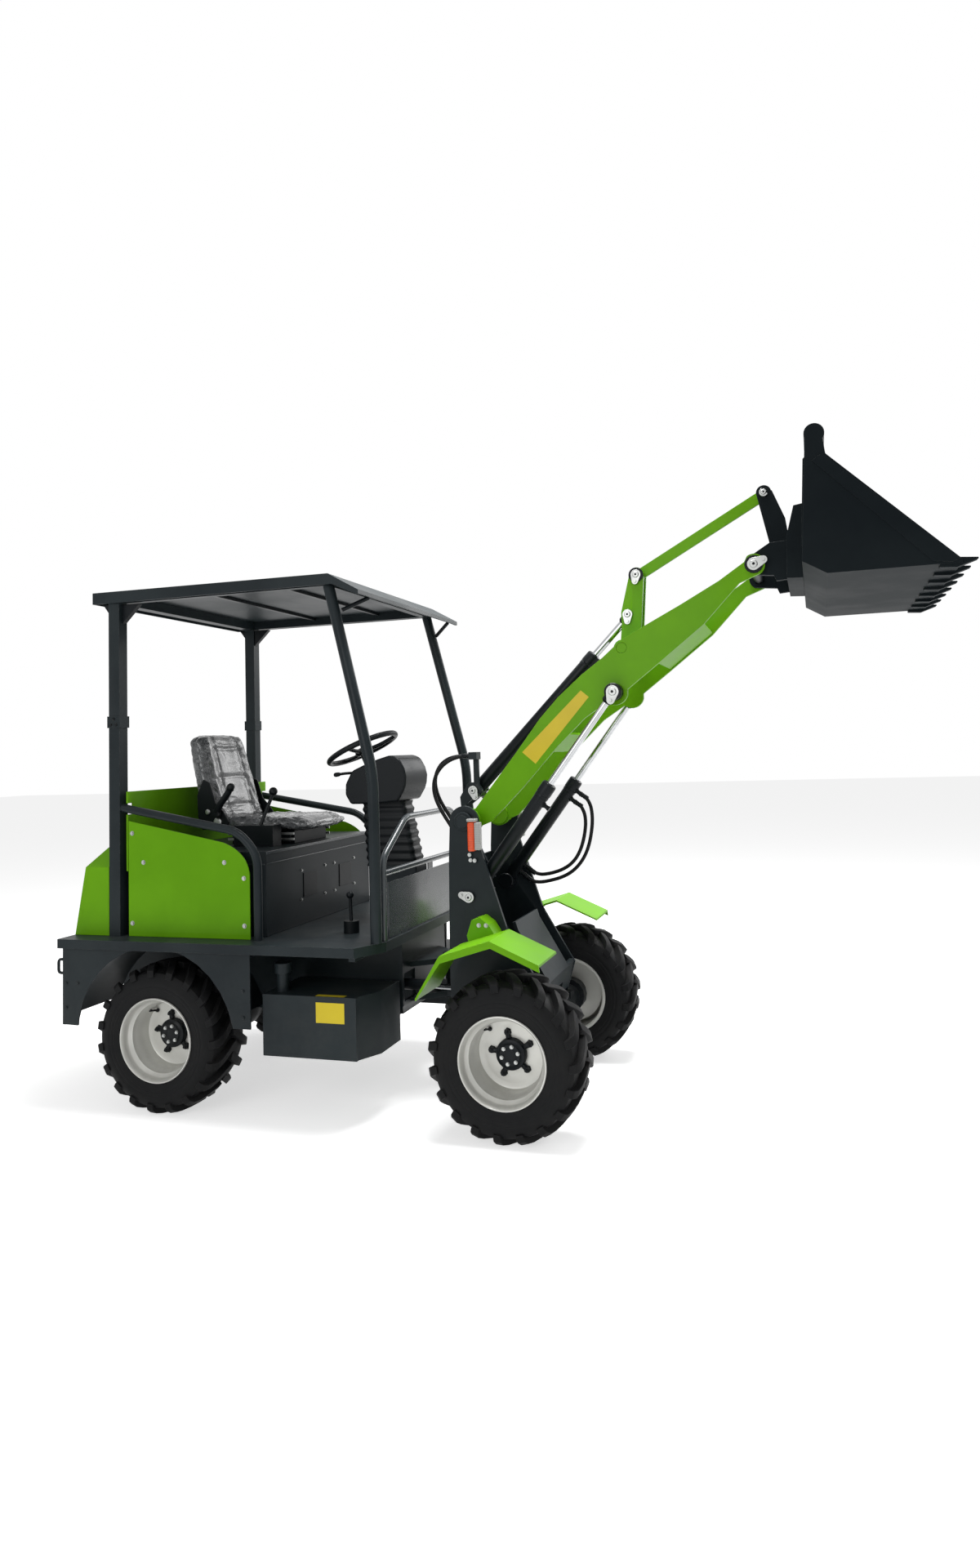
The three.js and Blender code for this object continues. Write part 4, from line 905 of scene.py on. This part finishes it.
def cushion_section(t, a, half, thick):
    c, s = squarish(a, 3.6)
    across = half * c
    depth = thick * s
    if s > 0:
        u = abs(c)
        seams = 7 * groove(u, 0.60, 0.03) + 6 * (groove(t, 0.34, 0.012)
                                                  + groove(t, 0.62, 0.012)) * (u < 0.6)
        bolster = 12 * math.exp(-((u - 0.80) / 0.14) ** 2)
        depth += s * (bolster + 6 * math.cos(u * math.pi / 2) - seams) * min(1, 9 * t, 7 * (1 - t))
    return across, depth


def make_cushion():
    stations = []
    steps = 64
    for i in range(steps + 1):
        t = i / steps
        closing = min(1, t / 0.06, (1 - t) / 0.13)
        rounding = math.sqrt(max(0.02, 1 - (1 - closing) ** 2))
        half = (230 - 8 * (2 * t - 1) ** 2) * (0.92 + 0.08 * rounding)
        dip = -6 * math.sin(math.pi * t)
        droop = -6 * max(0, t - 0.8) / 0.2
        centre = at(44 + 480 * t, 0, 1287 + dip * 0.5 + droop)
        stations.append((t, (centre, Vector((0, 0, 1)), half, 32 * rounding)))
    bm = lofted_pad(stations, cushion_section)
    wrinkle(bm, 7, 16, 8.4)
    piece = build("seat_cushion_cover", bm, "rear_frame", VINYL, ("seat_cushion",), sharp=80)


def make_seat_frame():
    """Side shell, recliner, slides and the folding armrest."""
    body = "rear_frame"
    bm = bmesh.new()
    for side in SIDES:
        prism(bm, [(-66, 1262), (70, 1262), (92, 1302), (60, 1352), (14, 1400), (-20, 1500),
                   (-60, 1520), (-96, 1440), (-92, 1330)], side * 226, side * 234)
    block(bm, 84, 416, -186, -172, 1192, 1240)
    block(bm, 84, 416, 172, 186, 1192, 1240)
    build("seat_shell", bm, body, PLASTIC, (), 3, 2)
    bm = bmesh.new()
    lathe(bm, [(0, 0), (24, 0), (24, 8), (18, 13), (0, 14)], at(28, -234, 1300), (0, -1, 0), 24)
    lathe(bm, [(0, 0), (15, 0), (15, 6), (11, 10), (0, 11)], at(-30, -234, 1352), (0, -1, 0), 20)
    build("seat_recliner", bm, body, ZINC)
    bm = bmesh.new()
    arm = smooth_route([at(34, -256, 1352), at(56, -258, 1390), at(96, -258, 1440),
                        at(118, -258, 1476)], 5)
    tube(bm, arm, 17, 14)
    lathe(bm, [(0, -16), (17, -16), (20, -8), (20, 8), (14, 20), (0, 24)], arm[-1],
          arm[-1] - arm[-3], 18)
    block(bm, 14, 50, -270, -240, 1330, 1366)
    build("seat_armrest", bm, body, PLASTIC, (), 3, 2)
    bm = bmesh.new()
    for side in SIDES:
        for z in (1204, 1232):
            block(bm, 60, 440, side * 188, side * 196, z, z + 12)
    build("seat_slides", bm, body, ZINC, (), 1, 2)


# ---- steering -------------------------------------------------------------
HELM_AXIS = Vector((-math.sin(HELM_TILT), 0, math.cos(HELM_TILT)))


def circle_profile(radius, tube_radius, steps=18):
    turns = [2 * math.pi * k / steps for k in range(steps)]
    return [(radius + tube_radius * math.cos(t), tube_radius * math.sin(t)) for t in turns]


def make_steering_wheel():
    centre = at(*HELM_CENTRE)
    across = Y_AXIS
    along = HELM_AXIS.cross(across).normalized()
    bm = bmesh.new()
    lathe(bm, circle_profile(HELM_R, HELM_TUBE_R - 1), centre, HELM_AXIS, 72, loop=True)
    lathe(bm, [(0, -34), (30, -34), (40, -28), (46, -18), (44, -6), (34, 1), (18, 4), (0, 5)],
          centre, HELM_AXIS, 40)
    for k in range(3):
        a = 2 * math.pi * k / 3 + 0.5
        out = across * math.sin(a) + along * math.cos(a)
        inner = centre + out * 0.030 - HELM_AXIS * 0.016
        middle = centre + out * 0.100 - HELM_AXIS * 0.014
        outer = centre + out * (HELM_R * MM) - HELM_AXIS * 0.002
        tube(bm, smooth_route([inner, middle, outer], 5), 10, 12)
    build("steering_wheel_rim", bm, "steering_wheel_body", PLASTIC, ("steering_wheel",),
          sharp=40)


POD = [(704, 1424), (706, 1478), (742, 1543), (800, 1568), (884, 1598), (950, 1616),
       (985, 1606), (1005, 1590), (1026, 1550), (1036, 1510), (1032, 1470), (1022, 1440),
       (990, 1387), (860, 1377), (732, 1377)]


def rounded_box(bm, x0, x1, half_y, z, corner=24):
    """A ring of a rounded rectangle at height z."""
    ring = []
    centres = ((x1 - corner, half_y - corner, 0), (x0 + corner, half_y - corner, 90),
               (x0 + corner, corner - half_y, 180), (x1 - corner, corner - half_y, 270))
    for cx, cy, start in centres:
        for k in range(5):
            a = math.radians(start + 90 * k / 4)
            ring.append(bm.verts.new(at(cx + corner * math.cos(a), cy + corner * math.sin(a), z)))
    return ring


def make_bellows():
    bm = bmesh.new()
    rings = []
    count = 34
    for i in range(count + 1):
        t = i / count
        z = 1062 + (1384 - 1062) * t
        ripple = 7 * (0.5 - 0.5 * math.cos(2 * math.pi * t * 8))
        x0 = 772 - 22 * t + ripple
        x1 = 1048 - 58 * t - ripple
        rings.append(rounded_box(bm, x0, x1, 69 - ripple, z))
    join_rings(bm, rings)
    bm.faces.new(list(reversed(rings[0])))
    bm.faces.new(rings[-1])
    build("column_bellows", bm, "rear_frame", PLASTIC, ("steering_column",), sharp=50)


def make_column():
    make_bellows()
    body = "rear_frame"
    bm = bmesh.new()
    prism(bm, POD, -148, 148)
    build("column_pod", bm, body, PLASTIC, (), 26, 5, 20)
    bm = bmesh.new()
    block(bm, 802, 1048, -74, 74, DECK_Z + 0.5, 1066)
    build("column_foot", bm, body, CHARCOAL, (), 6, 3)
    bm = bmesh.new()
    low = at(*HELM_CENTRE) - HELM_AXIS * 0.150
    lathe(bm, [(0, 0), (34, 0), (34, 20), (26, 30), (24, 60), (24, 115), (0, 115)], low,
          HELM_AXIS, 28)
    build("column_shaft", bm, body, PLASTIC)
    bm = bmesh.new()
    stalk = smooth_route([at(776, -80, 1532), at(724, -150, 1532), at(694, -196, 1528)], 5)
    tube(bm, stalk, 7, 12)
    end = at(694, -196, 1528)
    lathe(bm, [(0, -10), (9, -8), (11, 0), (11, 16), (8, 22), (0, 23)], end,
          stalk[-1] - stalk[-3], 16)
    key = at(712, -60, 1462)
    lathe(bm, [(0, -8), (15, -8), (15, 8), (11, 12), (11, 18), (4, 19), (4, 30), (0, 30)], key,
          (-1, 0, 0.1), 20)
    build("column_stalk", bm, body, PLASTIC)


# ---- pins and cylinders ----------------------------------------------------
def flag_piece(name, body, centre, y, toward, side, radius):
    """A teardrop locking plate on a pin's end, with a bolt in its lobe and a thin black disc on
    its boss as the painted shade of a recess.
    """
    cx, cz = centre
    lx, lz = toward
    reach = math.hypot(lx - cx, lz - cz)
    aim = math.atan2(lz - cz, lx - cx)
    lobe = radius * 0.62
    outline = []
    for k in range(17):
        a = aim + math.radians(70) + math.radians(220) * k / 16
        outline.append((cx + radius * math.cos(a), cz + radius * math.sin(a)))
    for k in range(9):
        a = aim - math.radians(70) + math.radians(140) * k / 8
        outline.append((lx + lobe * math.cos(a), lz + lobe * math.sin(a)))
    bm = bmesh.new()
    prism(bm, outline, side * y, side * (y + 6))
    out = Y_AXIS * side
    face = at(cx, side * (y + 6), cz)
    lathe(bm, [(0, -3), (radius * 0.62, -3), (radius * 0.62, 4), (radius * 0.52, 6), (0, 6)],
          face, out, 28)
    build(name, bm, body, ZINC, (), 1.2, 2)
    # Painted shade: a thin black disc on the boss's face, where a recess would look dark.
    bm = bmesh.new()
    lathe(bm, [(0, 5.7), (radius * 0.22, 5.7), (radius * 0.22, 6.6), (0, 6.6)], face, out, 12)
    build(name + "_recess", bm, body, BLACK)
    if reach > radius * 0.8:
        bolts(name + "_bolt", body,
              [((lx, side * (y + 6.5), lz), tuple(out))], 7, 5, 9.5)


# The plate's name, its body, its pin, how far out its inner face lies, its lobe and its radius.
FLAGS = [
    ("lift_base_flag", "front_body", LIFT_BASE, 334.2, (1378, 965), 25),
    ("lift_eye_flag", "lift_rod_{}_body", LIFT_EYE, 289.4, (2098, 1830), 29),
    ("bucket_pin_flag", "bucket_pin_body", BUCKET_PIN, 240.2, (2788, 2417), 28),
    ("link_rear_flag", "link_pin_body", LINK_REAR, 52.2, (2190, 2398), 24),
    ("tilt_eye_flag", "lever_body", TILT_EYE, 50.2, (2146, 2211), 24),
    ("tilt_base_flag", "front_body", TILT_BASE, 66.2, (1366, 1398), 24),
    ("link_front_cap", "bucket_body", LINK_FRONT, 50.2, (2797, 2762), 20),
]


def make_flags():
    for side in SIDES:
        tag = SIDE_NAME[side]
        for name, body, pin, face, lobe, radius in FLAGS:
            flag_piece(f"{name}_{tag}", body.format(tag), pin, face, lobe, side, radius)


def make_boom_pin_caps():
    """A ring and a keeper on the tower over each end of the boom's pin."""
    x, z = BOOM_PIN
    bm = bmesh.new()
    for side in SIDES:
        lathe(bm, [(0, 0.1), (44, 0.1), (44, 3), (41, 5), (37, 5), (34, 3), (30, 3), (28, 7),
                   (0, 7)], at(x, side * TOWER_FACE, z), Y_AXIS * side, 40)
    build("boom_pin_caps", bm, "front_body", CHARCOAL)


def cylinder_pieces(name, tag, base, eye, y, radius, rod_radius, length, rod_in, eye_radius,
                    eye_ys, foot_radius, foot_half, ports):
    """A hydraulic cylinder between its base pin and its rod's eye."""
    start = at(base[0], y, base[1])
    end = at(eye[0], y, eye[1])
    aim = (end - start).normalized()
    full = (end - start).length / MM
    r = radius
    bm = bmesh.new()
    lathe(bm, [(0, 20), (r - 2, 20), (r, 24), (r, length - 78), (r + 1.5, length - 76),
               (r + 1.5, length - 62), (r + 0.5, length - 60), (r + 2.9, length - 58),
               (r + 2.9, length - 12), (r + 0.5, length - 4), (rod_radius + 6, length - 0.2),
               (rod_radius + 0.8, length - 0.2), (rod_radius + 0.8, length - 14),
               (0, length - 14)], start, aim, 40)
    lathe(bm, pin_profile(foot_radius, foot_half), start, Y_AXIS, 32)
    lower = Vector((aim.z, 0, -aim.x))
    for d in ports:
        spot = start + aim * (d * MM)
        lathe(bm, [(0, r - 8), (15, r - 8), (15, r + 4), (11, r + 6), (11, 54), (13, 55),
                   (13, 63.4), (0, 63.4)], spot, lower, 6 if d % 2 else 16)
    barrel_node = f"{name}_barrel{tag}"
    build(f"{barrel_node}_body", bm, BODY_OF[barrel_node], BLACK,
          (barrel_node,))
    bm = bmesh.new()
    lathe(bm, [(0, rod_in), (rod_radius, rod_in), (rod_radius, full - eye_radius + 4),
               (0, full - eye_radius + 4)], start, aim, 32)
    lathe(bm, [(rod_radius, full - eye_radius - 22), (rod_radius + 9, full - eye_radius - 12),
               (rod_radius + 9, full - 12), (0, full - 12), (0, full - eye_radius - 22)],
          start, aim, 28)
    low, high = sorted(eye_ys)
    half = (high - low) / 2
    middle = at(eye[0], (low + high) / 2, eye[1])
    lathe(bm, pin_profile(eye_radius, half), middle, Y_AXIS, 36)
    rod_node = f"{name}_rod{tag}"
    piece = build(f"{rod_node}_shaft", bm, BODY_OF[rod_node], CHROME, (rod_node,))
    piece.data.materials.append(BLACK)
    for face in piece.data.polygons:
        along = (face.center - start).dot(aim) / MM
        if along > full - eye_radius - 23:
            face.material_index = 1


def make_cylinders():
    for side in SIDES:
        tag = "_" + SIDE_NAME[side]
        eye_ys = (side * (BOOM_Y + 0.4), side * (LIFT_Y + 21.9))
        ports = (78, 120, 540, 590) if side > 0 else (81, 541)
        cylinder_pieces("lift", tag, LIFT_BASE, LIFT_EYE, side * LIFT_Y, radius=32,
                        rod_radius=16, length=640, rod_in=495, eye_radius=39.5, eye_ys=eye_ys,
                        foot_radius=39.5, foot_half=36.5, ports=ports)
    cylinder_pieces("tilt", "", TILT_BASE, TILT_EYE, 0, radius=33, rod_radius=17, length=890,
                    rod_in=620, eye_radius=29.7, eye_ys=(-21.8, 21.8), foot_radius=37.5,
                    foot_half=41.5, ports=())


# ---- bodywork ---------------------------------------------------------------
# Nodes shown with rounded edges: their finish, the rounding's width and its segments.
ROUNDED = [
    (GREEN, 2.0, 3, "hood side_panel_right side_panel_left rear_bulkhead boom lever tilt_link "
                    "front_fender_right front_fender_left"),
    (CHARCOAL, 1.8, 2, "deck roof seat_box front_frame rear_chassis"),
    (CHARCOAL, 5.0, 3, "tank_right tank_left"),
    (CHARCOAL, 3.0, 2, "canopy_frame"),
    (FRAME_GREY, 1.5, 2, "front_guard"),
    (DARK_STEEL, 2.5, 2, "bucket coupler"),
    (BLACK, 2.5, 2, "rear_axle front_axle engine_block seat_base control_console floor_lever "
                    "steer_barrel"),
    (GREEN, 1.2, 2, "lever_pin_right lever_pin_left"),
    (BLACK, 1.2, 2, "link_pin bucket_pin pivot_pin"),
    (CHROME, 1.0, 1, "steer_rod"),
    (AMBER, 9.0, 4, "turn_lamp_right turn_lamp_left"),
]


def make_bodywork():
    for finish, width, segments, nodes in ROUNDED:
        for node in nodes.split():
            refine(node, finish, width, segments)


def side_aim(side):
    return (0.0, float(side), 0.0)


PANEL_BOLTS = [(-122, 1142), (321, 1143), (424, 1071), (424, 855), (-185, 855), (-185, 1280)]
SKIRT_BOLTS = [(-486, 583), (-422, 586), (472, 585), (-486, 470), (472, 470)]
BOX_FRONT_BOLTS = [
    (-221, 1058), (28, 1056), (131, 1056), (366, 1057), (-226, 916), (22, 913), (135, 912),
    (367, 917),
]


POST_BOLTS = [(-291, 1804), (-263, 1804), (-277, 1832)]
FENDER_BOLTS = [(1490, 846), (1524, 846)]
SKIRT_Y = 730
POST_Y = 650
FENDER_HANGER_Y = 430
BOX_FRONT_X = 495


def on_both_sides(places, y):
    return [((x, side * y, z), side_aim(side)) for side in SIDES for x, z in places]


def make_bolts():
    bolts("panel_bolts", "rear_frame", on_both_sides(PANEL_BOLTS, PANEL_Y), 8, 5, 11)
    bolts("skirt_bolts", "rear_frame", on_both_sides(SKIRT_BOLTS, SKIRT_Y), 7, 4, 9, CHARCOAL)
    spots = [((BOX_FRONT_X, y, z), (1.0, 0.0, 0.0)) for y, z in BOX_FRONT_BOLTS]
    bolts("seat_box_bolts", "rear_frame", spots, 6, 4, 8)
    bolts("post_bolts", "rear_frame", on_both_sides(POST_BOLTS, POST_Y), 6, 5, 8, BLACK)
    bolts("fender_bolts", "front_body", on_both_sides(FENDER_BOLTS, FENDER_HANGER_Y), 7, 5, 10)


LABEL_T = 0.7


def make_labels():
    """Blank plates: on each side of the boom and on the right tank."""
    for side in SIDES:
        tag = SIDE_NAME[side]
        bm = bmesh.new()
        prism(bm, [(1660, 1610), (1723, 1555), (1986, 1853), (1949, 1885)],
              side * (BOOM_Y + 0.05), side * (BOOM_Y + LABEL_T))
        build(f"boom_label_{tag}", bm, "boom_body", YELLOW)
    bm = bmesh.new()
    block(bm, 806, 944, -680.8, -680.05, 452, 540)
    build("tank_label", bm, "rear_frame", YELLOW)
    bm = bmesh.new()
    block(bm, 800, 940, -672, -644, 565.1, 565.9)
    build("tank_top_label", bm, "rear_frame", YELLOW)


def make_seat_box_details():
    """Dark panes and a bright lid edge on the seat box, just clear of its front face."""
    body = "rear_frame"
    face = BOX_FRONT_X + 0.1
    bm = bmesh.new()
    for y0, y1 in ((-206, -64), (186, 330)):
        block(bm, face, BOX_FRONT_X + 3.5, y0, y1, 924, 1042)
    build("seat_box_windows", bm, body, PLASTIC, (), 1.2, 2)
    bm = bmesh.new()
    block(bm, face, BOX_FRONT_X + 4, -556, 556, 1126, 1130)
    block(bm, -192, 492, -564, -560.1, 1124, 1130)
    block(bm, face, BOX_FRONT_X + 5, -557, 557, 1172, 1184)
    build("seat_box_lid_line", bm, body, FRAME_GREY, (),
          1, 2)


def make_lamp_details():
    for side in SIDES:
        tag = SIDE_NAME[side]
        bm = bmesh.new()
        block(bm, 1426, 1470, side * (TOWER_FACE + 1), side * (TOWER_FACE + 40), 1301, 1315)
        block(bm, 1459, 1488, side * (TOWER_FACE + 1), side * (TOWER_FACE + 30), 1172, 1298)
        build(f"lamp_cap_{tag}", bm, "front_body", CLEAR, (),
              4, 3)
        spots = [((x, side * TOWER_FACE, z), side_aim(side))
                 for x, z in ((1424, 1148), (1428, 1124), (1448, 1122))]
        bolts(f"lamp_bolts_{tag}", "front_body", spots, 6, 4, 9)


def make_roof_details():
    body = "rear_frame"
    bm = bmesh.new()
    for side in SIDES:
        tube(bm, [at(1030, side * 520, 2344), at(930, side * 596, 2284)], 10, 12)
    for x in (150, 560):
        block(bm, x, x + 22, -585, 585, 2426, 2441.5)
    for side in SIDES:
        prism(bm, [(-246, 2300), (-246, 2392), (-150, 2392)], side * 592, side * 622)
        prism(bm, [(-309, 2340), (-309, 2398), (-352, 2398)], side * 600, side * 630)
    build("roof_struts", bm, body, BLACK, (), 2, 2)


def make_bucket_details():
    body = "bucket_body"
    bm = bmesh.new()
    for side in SIDES:
        prism(bm, [(3006, 2704), (3045, 2727), (3513, 2276), (3484, 2265), (3417, 2273)],
              side * 710.1, side * 714)
    build("bucket_cheek_strips", bm, body, DARK_STEEL, (), 1.2, 2)
    bm = bmesh.new()
    for y in (-430, -150, 150, 430):
        prism(bm, [(2958, 2420), (2950, 2430), (2973, 2790), (2984, 2800)], y - 6, y + 6)
    build("bucket_back_ribs", bm, body, DARK_STEEL, (),
          1.2, 2)


# ---- floor and lights --------------------------------------------------------
def seen_directly(tree):
    """1 for camera, glossy and transmission rays."""
    path = add_node(tree, "ShaderNodeLightPath").outputs
    both = maths(tree, "MAXIMUM", path["Is Camera Ray"], path["Is Glossy Ray"])
    return maths(tree, "MAXIMUM", both, path["Is Transmission Ray"])


FLOOR_HALF = 40.0
FLOOR_Z = -0.0004
FLOOR_GLOW = 0.60
WORLD_LIGHT = 0.36
WORLD_SEEN = 1.0


def make_floor():
    bm = bmesh.new()
    bm.faces.new([bm.verts.new((x * FLOOR_HALF, y * FLOOR_HALF, FLOOR_Z))
                  for x, y in ((-1, -1), (1, -1), (1, 1), (-1, 1))])
    mesh = bpy.data.meshes.new("floor")
    bm.to_mesh(mesh)
    bm.free()
    floor = bpy.data.objects.new("floor", mesh)
    bpy.context.scene.collection.objects.link(floor)
    material, tree, shader = new_material("Pale floor")
    tree.nodes.remove(shader)
    matt = add_node(tree, "ShaderNodeBsdfDiffuse", {"Color": rgb(0.8, 0.8, 0.8)})
    glow = add_node(tree, "ShaderNodeEmission", {"Color": rgb(1, 1, 1)})
    strength = maths(tree, "MULTIPLY", seen_directly(tree), FLOOR_GLOW)
    tree.links.new(strength, glow.inputs["Strength"])
    total = add_node(tree, "ShaderNodeAddShader", {0: matt.outputs[0], 1: glow.outputs[0]})
    tree.links.new(total.outputs[0], tree.nodes["Material Output"].inputs["Surface"])
    mesh.materials.append(material)


def make_world():
    world = bpy.data.worlds.new("studio")
    bpy.context.scene.world = world
    world.use_nodes = True
    tree = world.node_tree
    sky = tree.nodes["Background"]
    sky.inputs["Color"].default_value = rgb(1, 1, 1)
    strength = ramp(tree, seen_directly(tree), 0.0, 1.0, WORLD_LIGHT, WORLD_SEEN)
    tree.links.new(strength, sky.inputs["Strength"])


def soft_lamp(name, where, target, size, power):
    data = bpy.data.lights.new(name, "AREA")
    data.shape = "RECTANGLE"
    data.size, data.size_y = size
    data.energy = power
    lamp = bpy.data.objects.new(name, data)
    lamp.location = where
    aim = Vector(target) - Vector(where)
    lamp.rotation_euler = aim.to_track_quat("-Z", "Y").to_euler()
    bpy.context.scene.collection.objects.link(lamp)


def make_lights():
    soft_lamp("overhead softbox", (0.1, 0.4, 6.4), (0, 0, 0.5), (3.0, 3.0), 560)
    soft_lamp("side fill", (-1.5, -7.0, 3.2), (0, 0, 1.2), (4.0, 3.0), 115)
    soft_lamp("back rim", (2.5, 6.0, 4.0), (0, 0, 1.4), (4.0, 2.5), 110)


# ---- assembly -----------------------------------------------------------------
set_camera()
make_hoses()
bpy.context.scene.view_settings.view_transform = "Standard"
make_floor()
make_world()
make_lights()
make_wheels()
make_backrest()
make_cushion()
make_seat_frame()
make_steering_wheel()
make_column()
make_flags()
make_boom_pin_caps()
make_cylinders()
make_bodywork()
make_bolts()
make_labels()
make_seat_box_details()
make_lamp_details()
make_roof_details()
make_bucket_details()
